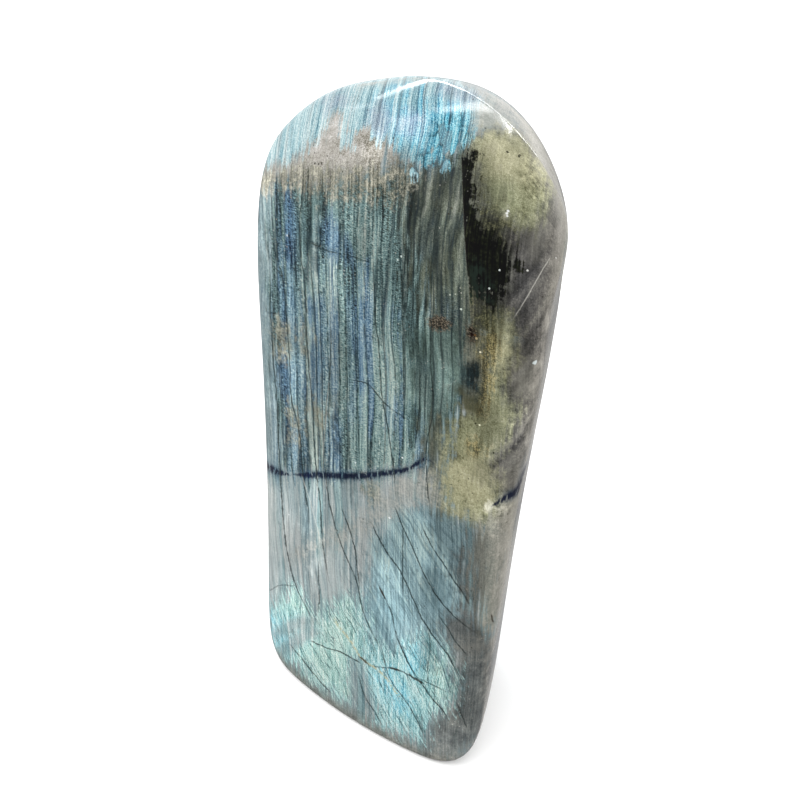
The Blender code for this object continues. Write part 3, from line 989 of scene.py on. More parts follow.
def mapped(where, scale=(1.0, 1.0, 1.0), shift=(0.0, 0.0, 0.0)):
    made = node("ShaderNodeMapping", vector_type="POINT")
    plug(where, made.inputs["Vector"])
    made.inputs["Scale"].default_value = scale
    made.inputs["Location"].default_value = shift
    return Value(made.outputs[0])


def streaks(sheet, width, length, seed=0.0, detail=1.0, rough=0.5):
    """Noise drawn out into fibres: width across the sheet, length along it, in mm."""
    return noise(mapped(sheet, (1.0 / width, 1.0 / length, 1.0), (seed, seed * 0.37, 0.0)),
                 1.0, detail, rough, dimensions="2D")


def grains(where, size, feature="F1", randomness=1.0, tint=False):
    made = node("ShaderNodeTexVoronoi", voronoi_dimensions="3D", feature=feature)
    plug(where, made.inputs["Vector"])
    made.inputs["Scale"].default_value = 1.0 / size
    made.inputs["Randomness"].default_value = randomness
    if not tint:
        return Value(made.outputs["Distance"])
    split = node("ShaderNodeSeparateColor")
    TREE.links.new(made.outputs["Color"], split.inputs[0])
    return Value(split.outputs[0])


def slabs(sheet, width, length, seed=0.0):
    """Upright slabs with tapering ends: two random numbers of each, and how far in from its side, in mm."""
    place = mapped(sheet, (1.0 / width, 1.0 / length, 1.0), (seed, seed * 0.37, 0.0))
    inside = node("ShaderNodeTexVoronoi", voronoi_dimensions="2D", feature="F1")
    border = node("ShaderNodeTexVoronoi", voronoi_dimensions="2D", feature="DISTANCE_TO_EDGE")
    for made in (inside, border):
        plug(place, made.inputs["Vector"])
        made.inputs["Scale"].default_value = 1.0
        made.inputs["Randomness"].default_value = 0.9
    split = node("ShaderNodeSeparateColor")
    TREE.links.new(inside.outputs["Color"], split.inputs[0])
    return Value(split.outputs[0]), Value(split.outputs[1]), Value(border.outputs["Distance"]) * width


LIGHT = 1.80                    # how bright a white stone would look in the studio
SHEEN = 0.004                   # what its polish adds to every colour


def linear(hex_colour):
    """Colour of the rock that looks like #rrggbb in the studio, in the renderer's linear values."""
    parts = [int(hex_colour[i:i + 2], 16) / 255.0 for i in (1, 3, 5)]
    seen = [c / 12.92 if c <= 0.04045 else ((c + 0.055) / 1.055) ** 2.4 for c in parts]
    return tuple(max(c - SHEEN, 0.0015) / LIGHT for c in seen)


def ramp(value, *stops):
    """Colours along a value: pairs of place and #rrggbb."""
    made = node("ShaderNodeValToRGB")
    elements = made.color_ramp.elements
    while len(elements) > 1:
        elements.remove(elements[-1])
    elements[0].position = stops[0][0]
    elements[0].color = (*linear(stops[0][1]), 1.0)
    for place, colour in stops[1:]:
        elements.new(place).color = (*linear(colour), 1.0)
    plug(value, made.inputs[0])
    return Value(made.outputs[0])


def blend(share, a, b, kind="MIX"):
    made = node("ShaderNodeMix", data_type="RGBA", blend_type=kind, clamp_factor=True)
    a = linear(a) if isinstance(a, str) else a
    b = linear(b) if isinstance(b, str) else b
    plug(share, made.inputs[0])
    plug(a, made.inputs[6])
    plug(b, made.inputs[7])
    return Value(made.outputs[2])


def field(name):
    """A field of the drawing, by name."""
    attribute, channel = PLACE[name]
    if attribute not in MADE:
        source = node("ShaderNodeAttribute", attribute_type="GEOMETRY", attribute_name=attribute)
        split = node("ShaderNodeSeparateColor")
        TREE.links.new(source.outputs["Color"], split.inputs[0])
        MADE[attribute] = [Value(s) for s in (*split.outputs[:3], source.outputs["Alpha"])]
    return MADE[attribute][channel]


# ------------------------------------------------------------------ the stone
def labradorite(counts, dots):
    global TREE
    material = bpy.data.materials.new("labradorite_polished")
    material.use_nodes = True
    TREE = material.node_tree
    MADE.clear()
    shader = TREE.nodes["Principled BSDF"]

    place = node("ShaderNodeTexCoord")
    whole = mapped(Value(place.outputs["Object"]), (1.0 / MM,) * 3)
    split = node("ShaderNodeSeparateXYZ")
    plug(whole, split.inputs[0])
    x, y, z = (Value(s) for s in split.outputs)

    # The lamellae stand upright and cross the front at an angle: across measures through them.
    across = x * 0.839 + y * 0.545
    lazy = noise(whole, 1 / 30.0, 1.0) - 0.5
    wavy = noise(mapped(whole, (0.2, 0.2, 0.03)), 1.0, 2.0) - 0.5
    shaky = noise(mapped(whole, (0.9, 0.9, 0.12)), 1.0, 2.0) - 0.5
    p = mapped(vector(x + wavy * 0.05, y + shaky * 0.05, z))        # the grain wavers with the lamellae
    lam = across + lazy * 3.6 + wavy * 1.3 + shaky * 0.25
    straight = across + lazy * 3.0 + shaky * 0.12
    slant = across * 0.86 + z * 0.51 + lazy * 9.0 + wavy * 3.0 + shaky * 0.4
    other_slant = across * 0.80 - z * 0.60 + lazy * 8.0
    upright = mapped(vector(lam, z, 0.0))
    smooth = mapped(vector(straight, z, 0.0))
    leaning = mapped(vector(slant, z, 0.0))
    crossing = mapped(vector(other_slant, z, 0.0))
    tapering = mapped(vector(across * 0.98 - z * 0.17 + lazy * 7.0 + wavy * 2.4 + shaky * 0.3, z, 0.0))
    s5 = streaks(tapering, 2.6, 46.0, 203.0)

    s8 = streaks(upright, 4.2, 90.0, 3.1)
    s3 = streaks(upright, 1.7, 70.0, 17.3)
    s1 = streaks(upright, 0.62, 48.0, 29.9)
    s0 = streaks(upright, 0.24, 11.0, 41.7, 2.0)
    d3 = streaks(leaning, 2.2, 30.0, 53.0)
    d1 = streaks(leaning, 0.7, 14.0, 61.0)
    f3 = streaks(smooth, 1.6, 60.0, 131.0)
    f1 = streaks(smooth, 0.5, 26.0, 137.0)
    ticks = noise(mapped(upright, (1.0, 4.6, 1.0)), 1.0, 1.0, dimensions="2D")
    soft = noise(p, 1 / 9.0, 3.0, 0.55)
    mid = noise(p, 1 / 3.0, 4.0, 0.6)
    fine = noise(p, 1 / 0.8, 3.0, 0.65)
    dust = noise(p, 1 / 0.3, 2.0, 0.6)
    fringe = streaks(upright, 1.0, 11.0, 71.0, 2.0, 0.6)
    blotch = noise(p, 1 / 16.0, 2.0, 0.5)
    tone_a, hue_a, rim_a = slabs(upright, 2.7, 92.0, 5.3)
    tone_b, hue_b, rim_b = slabs(upright, 1.1, 56.0, 11.9)
    tone_c, hue_c, rim_c = slabs(leaning, 3.4, 48.0, 23.7)

    def centred(v, k=1.0):
        return (v - 0.5) * k

    ragged = centred(mid, 30.0) + centred(fine, 10.0) + centred(soft, 16.0)
    fibrous = centred(fringe, 60.0) + centred(mid, 12.0) + centred(fine, 6.0)

    def mask(name, rough_edge=None, width=2.0, shift=0.0):
        edge = field(name) + shift if shift else field(name)
        if rough_edge is not None:
            edge = edge + rough_edge
        return ease(edge, -width, width)

    seam_a = (1.0 - ease(rim_a, 0.06, 0.40)) * ease(centred(s3, 0.8) + centred(mid, 0.9) + centred(fine, 0.4), -0.22, 0.04)
    seam_b = (1.0 - ease(rim_b, 0.03, 0.20)) * ease(centred(s3, 1.0) + centred(mid, 1.0), -0.05, 0.12)
    seam_c = (1.0 - ease(rim_c, 0.05, 0.34)) * ease(centred(mid, 1.0) + centred(soft, 1.0), -0.16, 0.08)

    # ---- below the vein: pale grey with blue-green lamellae
    tone = (0.5 + centred(tone_a, 0.32) + centred(tone_b, 0.2) + centred(s1, 0.7) + centred(s0, 0.7)
            + centred(dust, 0.4) + centred(blotch, 0.5))
    colour = ramp(tone, (0.0, "#56656a"), (0.22, "#74868b"), (0.42, "#8a9b9d"), (0.55, "#98a3a3"),
                  (0.72, "#a9afae"), (0.95, "#c4c7c4"))
    aqua_slabs = ramp(tone, (0.0, "#4e646a"), (0.25, "#6b878c"), (0.5, "#86a1a3"), (0.75, "#a1b8b6"), (1.0, "#c2d2cd"))
    colour = blend(ease(hue_a, 0.45, 0.75) * 0.85, colour, aqua_slabs)

    # ---- lower right: blue-green with slanting slabs
    low_tone = (0.5 + centred(tone_c, 0.24) + centred(d1, 0.45) + centred(s1, 0.6) + centred(s0, 0.6)
                + centred(blotch, 0.7) + centred(dust, 0.4))
    low_blue = ramp(low_tone, (0.05, "#526569"), (0.28, "#70898f"), (0.46, "#86a0a6"), (0.62, "#98b3b5"),
                    (0.85, "#b2c6c2"))
    colour = blend(mask("blue_low", ragged * 0.8 + fibrous * 0.6, 12.0), colour, low_blue)
    colour = blend(mask("calm", ragged + fibrous * 0.4, 16.0) * 0.6, colour,
                   ramp(low_tone, (0.1, "#7396a0"), (0.5, "#8fb0b8"), (0.9, "#a9c6ca")))

    lavender = ramp(0.5 + centred(tone_a, 0.3) + centred(s1, 0.8) + centred(blotch, 0.8) + centred(fine, 0.4),
                    (0.1, "#949fa4"), (0.4, "#adb7b7"), (0.6, "#bac1bf"), (0.9, "#d1d3cf"))
    colour = blend(mask("left_lavender", fibrous, 14.0) * 0.8, colour, lavender)

    # ---- the striped heart of the front
    lift = ease(z, 190.0, 120.0, -0.02, 0.10)
    heart = (0.5 + centred(tone_a, 0.42) + centred(tone_b, 0.22) + centred(s1, 0.5) + centred(s0, 0.65)
             + centred(ticks, 1.35) * ease(tone_a, 0.9, 0.2, 0.4, 1.1) + centred(dust, 1.1) + centred(s8, 0.4) + lift)
    bands = mask("pale_bands", fibrous * 0.5, 6.0) * 0.17 - mask("dark_bands", fibrous * 0.5, 6.0) * 0.30
    heart = heart - mask("navy_bands", fibrous * 0.5, 6.0) * 0.12 + bands
    steel = ramp(heart, (0.0, "#1d232b"), (0.2, "#35485b"), (0.42, "#53728b"), (0.6, "#6d8ba0"),
                 (0.8, "#93abb3"), (1.0, "#bccbc9"))
    teal = ramp(heart, (0.0, "#23292a"), (0.22, "#42514f"), (0.45, "#627e80"), (0.62, "#7e9896"),
                (0.8, "#9ab0aa"), (1.0, "#c0cbc2"))
    blueness = ease(centred(hue_a, 0.8) + centred(hue_b, 0.5) + centred(blotch, 1.2)
                    + mask("navy_bands", fibrous * 0.5, 8.0) * 0.7 - mask("pale_bands", fibrous * 0.5, 8.0) * 0.5
                    - mask("greener", fibrous * 0.5 + ragged * 0.5, 14.0) * 0.9, -0.45, 0.55)
    striped = blend(blueness, teal, steel)
    slab_grey = ramp(0.38 + centred(tone_a, 0.34) + centred(s8, 0.7) + centred(s5, 1.1) + centred(soft, 0.6)
                     + centred(s1, 0.2) + centred(fine, 0.35) + centred(dust, 0.55) + bands * 0.8 + lift,
                     (0.0, "#1f211b"), (0.25, "#393d35"), (0.45, "#4f554a"), (0.65, "#696f63"), (0.85, "#8a8f83"),
                     (1.0, "#aaab9f"))
    striped = blend(clamped(mask("grey_panel", fibrous, 18.0) * 0.95 + centred(soft, 0.5)), striped, slab_grey)
    hazy = ramp(0.5 + centred(soft, 0.8) + centred(mid, 0.8) + centred(s1, 0.35) + centred(s8, 0.5) + centred(fine, 0.6)
                + centred(dust, 0.6) + bands * 0.6, (0.05, "#35413c"), (0.3, "#52655f"), (0.5, "#6b8079"),
                (0.7, "#829b94"), (0.95, "#a3b8ae"))
    striped = blend(mask("haze", ragged + fibrous * 0.3, 14.0) * 0.85, striped, hazy)
    striped = blend(seam_a * 0.68, striped, "#1d2629")
    striped = blend(seam_b * 0.35, striped, "#27323a")
    striped_mask = mask("striped", fibrous, 8.0)
    colour = blend(seam_a * 0.30, colour, "#4b5c5f")
    colour = blend(seam_c * ease(field("blue_low"), -40.0, 0.0) * 0.4, colour, "#3c5156")
    colour = blend(striped_mask, colour, striped)
    # painted reflection: paler paint along the rounded left rim
    colour = blend(mask("left_rim_painted_reflection", fibrous * 0.4, 6.0) * 0.75, colour,
                   ramp(0.5 + centred(s1, 0.8) + centred(fine, 0.9) + centred(soft, 0.5), (0.2, "#6c8185"), (0.5, "#8ea1a5"),
                        (0.8, "#adbbba")))
    brown = ramp(0.5 + centred(tone_b, 0.3) + centred(s1, 1.0) + centred(fine, 0.6) + centred(blotch, 0.5),
                 (0.1, "#33352c"), (0.45, "#53554a"), (0.8, "#78796c"))
    colour = blend(mask("brown_fall", fibrous * 0.7, 10.0) * 0.85, colour, brown)

    # ---- ochre flecks
    flecked = ramp(0.5 + centred(fine, 2.0) + centred(mid, 1.0), (0.15, "#4f4f44"), (0.45, "#8c8b7a"),
                   (0.7, "#a9a690"), (0.95, "#cfccb8"))
    colour = blend(mask("ochre", ragged * 1.3 + centred(s3, 20.0), 8.0) * 0.6, colour, flecked)

    # ---- beige seam below the vein
    beige = ramp(0.5 + centred(mid, 1.2) + centred(fine, 1.3) + centred(s1, 0.6), (0.1, "#777a74"), (0.45, "#9b9e98"),
                 (0.75, "#b2b1aa"))
    colour = blend(mask("beige_low", ragged + fibrous * 0.5, 12.0) * 0.75, colour, beige)

    # ---- grey rock under everything at the right, cut off sharply at its upper left
    rock_cut = highest(mask("rock_cut", centred(fine, 2.0), 0.7), ease(z, 160.0, 153.0))
    rock_tone = (0.5 + centred(soft, 1.0) + centred(mid, 0.9) + centred(s1, 0.7) + centred(fine, 0.7) + centred(blotch, 0.8)
                 + centred(dust, 0.5))
    rock = ramp(rock_tone, (0.05, "#3b3d33"), (0.3, "#5d5f54"), (0.5, "#727469"), (0.7, "#888a7c"), (0.95, "#a6a797"))
    rock_share = ease(field("rock_right") * 1.7 + ragged + fibrous * 0.4, -8.0, 10.0)
    colour = blend(rock_share * rock_cut, colour, rock)

    # ---- beige cap above the stripes
    cap_tone = (0.54 + centred(mid, 1.0) + centred(fine, 0.9) + centred(soft, 1.3) + centred(dust, 1.4) + centred(s1, 0.2)
                + centred(blotch, 0.5))
    cap = ramp(cap_tone, (0.0, "#69665a"), (0.2, "#8f8b80"), (0.4, "#aaa79e"), (0.58, "#bab6af"), (0.8, "#c9c6c0"),
               (1.0, "#dfddd8"))
    cap_edge = centred(fringe, 40.0) + centred(s3, 48.0) + centred(mid, 26.0) + centred(fine, 10.0)
    colour = blend(mask("beige_top", cap_edge, 10.0), colour, cap)
    burnt_tone = (0.5 + bands * 0.7 + centred(s1, 0.8) + centred(fine, 1.2) + centred(dust, 1.0) + centred(mid, 1.3)
                  + centred(tone_b, 0.25))
    burnt = ramp(burnt_tone, (0.0, "#2d2d26"), (0.2, "#4c4d42"), (0.42, "#717265"), (0.6, "#929183"), (0.8, "#aeab9b"),
                 (1.0, "#cac7b6"))
    colour = blend(mask("cap_fringe", ragged * 1.4 + centred(s3, 30.0), 11.0)
                   * ease(fine + centred(fringe, 0.4) + centred(mid, 1.0), 0.34, 0.6, 0.5, 1.0), colour, burnt)

    # ---- the flash of the dome
    glow = 0.5 + centred(f3, 0.9) + centred(f1, 1.15) + centred(s0, 1.35) + centred(dust, 1.7) + centred(blotch, 0.4)
    icy = ramp(glow, (0.0, "#56808f"), (0.28, "#89b3bd"), (0.5, "#a9cad0"), (0.7, "#bfd8da"), (1.0, "#e2eff0"))
    deep = ramp(glow, (0.0, "#235e7e"), (0.26, "#4496b8"), (0.48, "#69b9d2"), (0.68, "#90d4e3"), (0.95, "#cdeef2"))
    violet = ramp(glow, (0.05, "#747e91"), (0.35, "#97a3b4"), (0.65, "#adb9c6"), (0.95, "#ccd5dc"))
    core = mask("blue_core", ragged * 1.3 + centred(f3, 60.0), 18.0)
    crumb_zone = mask("crumbs", ragged, 8.0)
    vivid = highest(ease(centred(f3, 1.0) + centred(blotch, 1.2) + centred(mid, 0.5), -0.25, 0.12), crumb_zone)
    flash = blend(core * vivid, icy, deep)
    # lilac flash, and on the forehead a painted highlight
    flash = blend(mask("lilac_and_painted_highlight", ragged, 12.0) * 0.75, flash, violet)
    veil = ease(streaks(smooth, 1.3, 40.0, 87.0, 2.0), 0.54, 0.68)
    flash = blend(veil * 0.5, flash, ramp(glow, (0.1, "#7c8a8e"), (0.5, "#a8b3b4"), (0.9, "#ced4d2")))
    dark_threads = 1.0 - ease(absolute(streaks(smooth, 1.7, 60.0, 151.0, 1.0) - 0.5), 0.0, 0.02)
    flash = blend(dark_threads * ease(fine, 0.35, 0.6) * 0.55, flash, "#41626f")
    blocks = mapped(smooth, (0.8, 0.5, 1.0))
    crumb_cells = grains(blocks, 1.5, "DISTANCE_TO_EDGE", 0.9)
    crumb_dark = (1.0 - ease(crumb_cells, 0.01, 0.12)) * crumb_zone * ease(mid, 0.38, 0.58)
    turquoise = ramp(glow, (0.0, "#174250"), (0.3, "#2f7c92"), (0.55, "#57a9bd"), (0.9, "#a4d6dc"))
    flash = blend(crumb_zone * 0.55, flash, turquoise)
    flash = blend(crumb_dark * 0.8, flash, "#243f4a")
    block_tint = grains(blocks, 1.5, "F1", 0.9, tint=True)
    flash = blend(crumb_zone * ease(block_tint, 0.74, 0.94) * 0.45, flash, "#7d8d92")
    flash_edge = centred(fringe, 30.0) + centred(mid, 18.0) + centred(fine, 8.0)
    flash_edge = flash_edge + crumb_zone * centred(block_tint, 34.0)
    colour = blend(mask("top_flash", flash_edge, 5.0), colour, flash)

    # ---- pale rock beyond the ridge and beside the flash
    side = ramp(0.5 + centred(mid, 1.0) + centred(fine, 1.0) + centred(soft, 0.8) + centred(dust, 0.6), (0.1, "#9d9b90"),
                (0.45, "#bfbcb1"), (0.8, "#d4d1c8"))
    colour = blend(mask("ridge_side", ragged * 0.5, 9.0), colour, side)
    colour = blend(mask("grey_top_right", ragged, 9.0) * 0.85, colour,
                   ramp(0.5 + centred(mid, 1.4) + centred(fine, 0.9), (0.1, "#8d9088"), (0.5, "#b0b3ab"), (0.85, "#cccdc5")))

    # ---- grey glassy rock to the right
    glass = (0.5 + centred(blotch, 0.9) + centred(soft, 0.7) + centred(streaks(crossing, 3.4, 46.0, 163.0), 1.5)
             + centred(s1, 0.4) + centred(fine, 0.7) + centred(dust, 0.7))
    mauve = ramp(glass, (0.1, "#333230"), (0.35, "#4a4946"), (0.55, "#5e5c59"), (0.75, "#716f69"), (0.95, "#8d8a81"))
    colour = blend(mask("mauve", ragged * 0.9, 10.0), colour, mauve)
    colour = blend(mask("mauve_dark", ragged, 14.0) * 0.6, colour,
                   ramp(glass, (0.1, "#343435"), (0.5, "#4b4b4c"), (0.9, "#6a6968")))
    colour = blend(mask("mauve_pale", ragged, 14.0) * 0.6, colour, "#8f8d83")

    # ---- olive
    olive_tone = (0.5 + centred(mid, 0.75) + centred(fine, 0.8) + centred(s1, 0.15) + centred(dust, 0.8) + centred(soft, 0.9)
                  + centred(blotch, 0.5))
    olive = ramp(olive_tone, (0.05, "#484831"), (0.25, "#707156"), (0.45, "#8a8c6e"), (0.6, "#9a9c7e"),
                 (0.8, "#b0b093"), (1.0, "#c8c8ad"))
    colour = blend(mask("olive", ragged * 1.3 + fibrous * 0.4, 14.0), colour, olive)
    straw = ramp(olive_tone, (0.1, "#807d60"), (0.4, "#a3a081"), (0.6, "#afac8c"), (0.85, "#c4c1a2"))
    colour = blend(mask("pale_olive", ragged * 1.2, 16.0) * 0.8, colour, straw)
    moss = ramp(olive_tone, (0.1, "#4e543c"), (0.45, "#858b6b"), (0.8, "#a3a987"))
    colour = blend(mask("green_olive", ragged, 12.0) * 0.6, colour, moss)
    amber = ramp(0.48 + centred(fine, 2.0) + centred(s1, 0.8) + centred(mid, 1.4) + centred(dust, 2.2), (0.1, "#211c10"),
                 (0.35, "#473f29"), (0.6, "#72673f"), (0.9, "#a59668"))
    colour = blend(mask("gold", ragged * 0.8 + fibrous * 0.3, 8.0) * 0.85, colour, amber)
    colour = blend(mask("brown_green", ragged, 9.0) * 0.85, colour, "#3b3b2b")
    colour = blend(mask("teal_patch", ragged * 0.7 + fibrous * 0.2, 6.0) * 0.95, colour,
                   ramp(0.5 + centred(s1, 0.9) + centred(mid, 1.0) + centred(dust, 1.6), (0.2, "#0b1314"), (0.8, "#22353b")))
    rust_spots = mask("rust", centred(fine, 12.0) + centred(dust, 8.0) + centred(mid, 6.0), 2.5, 1.5)
    colour = blend(rust_spots * 0.9, colour,
                   ramp(0.5 + centred(dust, 3.0) + centred(fine, 1.0), (0.2, "#15110c"), (0.5, "#352b21"), (0.85, "#7d7263")))
    colour = blend(mask("cream", ragged * 0.6, 3.0) * 0.8, colour, "#d8d6c3")

    # ---- black glassy rock
    sooty = ramp(0.5 + centred(fine, 1.5) + centred(s1, 0.8) + centred(mid, 1.5) + centred(dust, 1.0), (0.15, "#0b0d07"),
                 (0.42, "#24261a"), (0.65, "#494a33"), (0.9, "#7b7a5c"))
    colour = blend(mask("black_soft", ragged * 1.5 + fibrous * 0.3, 14.0) * 0.85 * rock_cut, colour, sooty)
    black = ramp(0.5 + centred(mid, 1.2) + centred(s1, 1.0) + centred(fine, 1.0), (0.2, "#020302"), (0.5, "#090b07"),
                 (0.75, "#1c1f15"), (0.95, "#35382a"))
    black = blend(mask("green_deep", ragged * 1.4, 8.0) * ease(mid + centred(s1, 0.8), 0.38, 0.62), black, "#243029")
    black_edge = centred(mid, 46.0) + centred(fine, 20.0) + centred(fringe, 26.0) + centred(soft, 14.0) + 1.5
    colour = blend(mask("black", black_edge, 3.5) * rock_cut, colour, black)

    # ---- the foot: dark grey at the right, pale beside it
    shade = ramp(0.5 + centred(soft, 1.2) + centred(mid, 0.8) + centred(blotch, 0.9) + centred(s1, 0.5) + centred(dust, 0.6),
                 (0.1, "#414445"), (0.4, "#5c605f"), (0.6, "#6e7270"), (0.9, "#8c8d87"))
    colour = blend(mask("dark_low", fibrous * 0.5 + ragged * 0.6, 12.0), colour, shade)
    pale = ramp(0.5 + centred(s3, 0.9) + centred(mid, 0.8) + centred(fine, 0.6) + centred(dust, 0.6), (0.1, "#65665e"),
                (0.5, "#85857b"), (0.85, "#a4a296"))
    colour = blend(mask("pale_low_right", fibrous * 0.6, 10.0) * 0.9, colour, pale)

    # ---- painted reflection: a pale strip down the rounded right side, for the polish mirroring the bright studio there
    strip = ramp(0.5 + centred(mid, 0.7) + centred(soft, 0.8) + centred(fine, 0.5) + centred(dust, 0.5), (0.1, "#9c978c"),
                 (0.5, "#aea99e"), (0.9, "#c4bfb5"))
    colour = blend(mask("right_side_painted_reflection", ragged * 0.9, 13.0) * 0.6, colour, strip)

    # ---- the flash of the foot
    net_a = 1.0 - ease(absolute(streaks(leaning, 1.5, 22.0, 171.0, 1.0) - 0.5), 0.0, 0.03)
    net_b = 1.0 - ease(absolute(streaks(upright, 1.2, 18.0, 177.0, 1.0) - 0.5), 0.0, 0.022)
    net_c = 1.0 - ease(absolute(streaks(leaning, 0.8, 15.0, 187.0, 1.0) - 0.5), 0.0, 0.03)
    net = highest(highest(net_a, net_b * 0.7), net_c * 0.9) * ease(fine + centred(mid, 0.8), 0.30, 0.48)
    low_glow = 0.575 + centred(s1, 0.5) + centred(s0, 1.2) + centred(d1, 0.6) + centred(d3, 0.4) + centred(dust, 1.5)
    aqua = ramp(low_glow, (0.05, "#56888f"), (0.3, "#80b3b8"), (0.5, "#9ccacc"), (0.7, "#b6dddc"), (0.95, "#dff2ef"))
    green = ramp(low_glow, (0.05, "#689187"), (0.3, "#98c0b7"), (0.5, "#b4d7cd"), (0.7, "#c9e4d8"), (0.95, "#e8f4e9"))
    azure = ramp(low_glow, (0.05, "#4a97b2"), (0.35, "#80d1e6"), (0.6, "#aeeaf5"), (0.9, "#daf4f6"))
    low_flash = blend(mask("mint", fibrous * 0.6 + ragged, 18.0) * 0.8, aqua, green)
    low_flash = blend(mask("bright_blue", ragged + fibrous * 0.5, 12.0) * 0.85, low_flash, azure)
    low_flash = blend(net * 0.85, low_flash, "#35565c")
    low_edge = centred(fringe, 40.0) + centred(mid, 24.0) + centred(d1, 30.0)
    low_mask = mask("bottom_flash", low_edge, 9.0) * (1.0 - mask("flash_bars", fibrous * 0.15, 5.0, 2.0) * 0.8)
    colour = blend(low_mask, colour, low_flash)

    # ---- brown-grey rim along the sawn foot
    rim = 1.0 - ease(z + centred(mid, 6.0) + centred(fine, 2.0), 1.0, 7.0)
    colour = blend(rim * 0.75, colour, ramp(0.5 + centred(mid, 1.4) + centred(fine, 1.2), (0.1, "#4b4942"), (0.5, "#7b786f"),
                                            (0.9, "#a19c90")))

    # ---- the vein
    vein_d = absolute(field("vein") + centred(fine, 1.8) + centred(s1, 2.4))
    vein_w = field("vein_power") * 3.7
    bitten = ease(streaks(upright, 0.8, 3.0, 93.0, 2.0), 0.33, 0.45)
    vein = (1.0 - ease(vein_d, vein_w * 0.35, vein_w * 1.3 + 0.4)) * ease(field("vein_power"), 0.05, 0.5) * bitten
    colour = blend((1.0 - ease(vein_d, 1.0, 9.0)) * field("vein_power") * 0.45, colour, "#2f4a66")
    colour = blend(vein * 0.94, colour, "#07182f")

    # ---- cracks
    cracks = None
    wobble = centred(fine, 1.6) + centred(mid, 2.6)
    for c in range(counts["crack"]):
        away = absolute(field(f"crack_{c}") + wobble)
        power = field(f"crack_{c}_power")
        line = (1.0 - ease(away, 0.22, 1.02)) * ease(power, 0.08, 0.58)
        cracks = line if cracks is None else highest(cracks, line)
    worn = ease(noise(p, 1 / 2.2, 2.0), 0.3, 0.5, 0.5, 1.0)
    cracks = cracks * worn
    colour = blend(cracks * 0.88, colour, "#1c2626")

    # hair-fine cracks everywhere: upright ones, and slanting ones below the vein
    hair_up = 1.0 - ease(absolute(streaks(upright, 2.4, 60.0, 101.0, 1.0) - 0.5), 0.0, 0.013)
    hair_slant = 1.0 - ease(absolute(streaks(leaning, 2.6, 34.0, 113.0, 1.0) - 0.5), 0.0, 0.013)
    hair_cross = 1.0 - ease(absolute(noise(mapped(p, (0.10, 0.10, 0.16)), 1.0, 3.0) - 0.5), 0.0, 0.006)
    broken = ease(noise(p, 1 / 6.0, 2.0), 0.46, 0.6)
    smooth_rock = clamped(mask("mauve", None, 10.0) + mask("ridge_side", None, 8.0) + mask("black", None, 3.0)
                          + mask("olive", None, 6.0))
    hair = highest(hair_up * 0.8, hair_slant * ease(field("blue_low"), -30.0, 10.0))
    hair = highest(hair, hair_cross * 0.5) * broken * (1.0 - smooth_rock * 0.85)
    colour = blend(hair * 0.5, colour, "#2b3839")

    # gold and pale lines, brown gashes
    for family, width, paint, share in (("gold_line", 1.3, "#c8c19a", 0.75), ("pale_line", 0.7, "#cfcdc3", 0.55),
                                        ("mark", 1.3, "#2f261d", 0.85)):
        for c in range(counts[family]):
            away = absolute(field(f"{family}_{c}") + wobble * 0.8)
            line = (1.0 - ease(away, width * 0.3, width * 1.2)) * ease(field(f"{family}_{c}_power"), 0.08, 0.6)
            line = line * ease(fine + centred(dust, 0.8), 0.40, 0.52) if family == "gold_line" else line
            colour = blend(line * share, colour, paint)

    # specks: dark pits and pale grains
    speck = 1.0 - ease(grains(p, 2.4), 0.06, 0.14)
    speck_some = ease(noise(p, 1 / 7.0, 1.0), 0.5, 0.62)
    colour = blend(speck * speck_some * 0.75, colour, "#2a251c")
    grain = 1.0 - ease(grains(mapped(p, (-1.0, 1.0, -1.0), (31.0, 17.0, 5.0)), 1.5), 0.07, 0.16)
    grain_some = ease(noise(p, 1 / 10.0, 1.0, 0.5, 0.4), 0.52, 0.64)
    colour = blend(grain * grain_some * (1.0 - smooth_rock * 0.6) * 0.5, colour, "#cfcdc2")

    # the grain of the whole rock, along the lamellae and across them, then lighter patches and darker patches; the
    # lighter patch on the left rim is painted reflection, and the pale washes on the forehead and along the dome's
    # second streak are painted highlight
    texture = 1.0 + centred(dust, 0.6) + centred(s0, 0.25) + centred(fine, 0.18)
    texture = texture * (1.0 + mask("lighter", fibrous * 0.5 + ragged * 0.4, 8.0) * 0.55
                         + mask("pale_wash_and_painted_highlight", fibrous * 0.5 + ragged * 0.4, 9.0) * 0.27)
    texture = texture * (1.0 - mask("darker", fibrous * 0.5 + ragged * 0.4, 8.0) * 0.38)
    grey = node("ShaderNodeCombineColor")
    for socket in grey.inputs:
        plug(texture, socket)
    colour = blend(1.0, colour, Value(grey.outputs[0]), "MULTIPLY")

    # pits and grains that stand alone
    shaken = centred(dust, 0.5)
    about = vector(x + centred(fine, 0.2), y, z + centred(s1, 0.2))
    for centre, radius, paint in dots:
        apart = node("ShaderNodeVectorMath", operation="DISTANCE")
        plug(about, apart.inputs[0])
        apart.inputs[1].default_value = centre
        spot = 1.0 - ease(Value(apart.outputs["Value"]) + shaken, radius * 0.6, radius * 1.25)
        colour = blend(spot * 0.9, colour, paint)

    plug(colour, shader.inputs["Base Color"])
    rough = 0.11 + cracks * 0.25 + speck * speck_some * 0.3 + centred(fine, 0.05)
    plug(rough, shader.inputs["Roughness"])
    shader.inputs["IOR"].default_value = 1.5
    shader.inputs["Specular IOR Level"].default_value = 0.05

    relief = centred(mid, 0.12) + centred(soft, 0.3)
    bump = node("ShaderNodeBump")
    bump.inputs["Strength"].default_value = 0.25
    bump.inputs["Distance"].default_value = 0.0002
    plug(relief, bump.inputs["Height"])
    TREE.links.new(bump.outputs[0], shader.inputs["Normal"])
    return material


# ------------------------------------------------------------------ the studio
HIGH_LIGHT = 1.74
LOW_LIGHT = 0.5


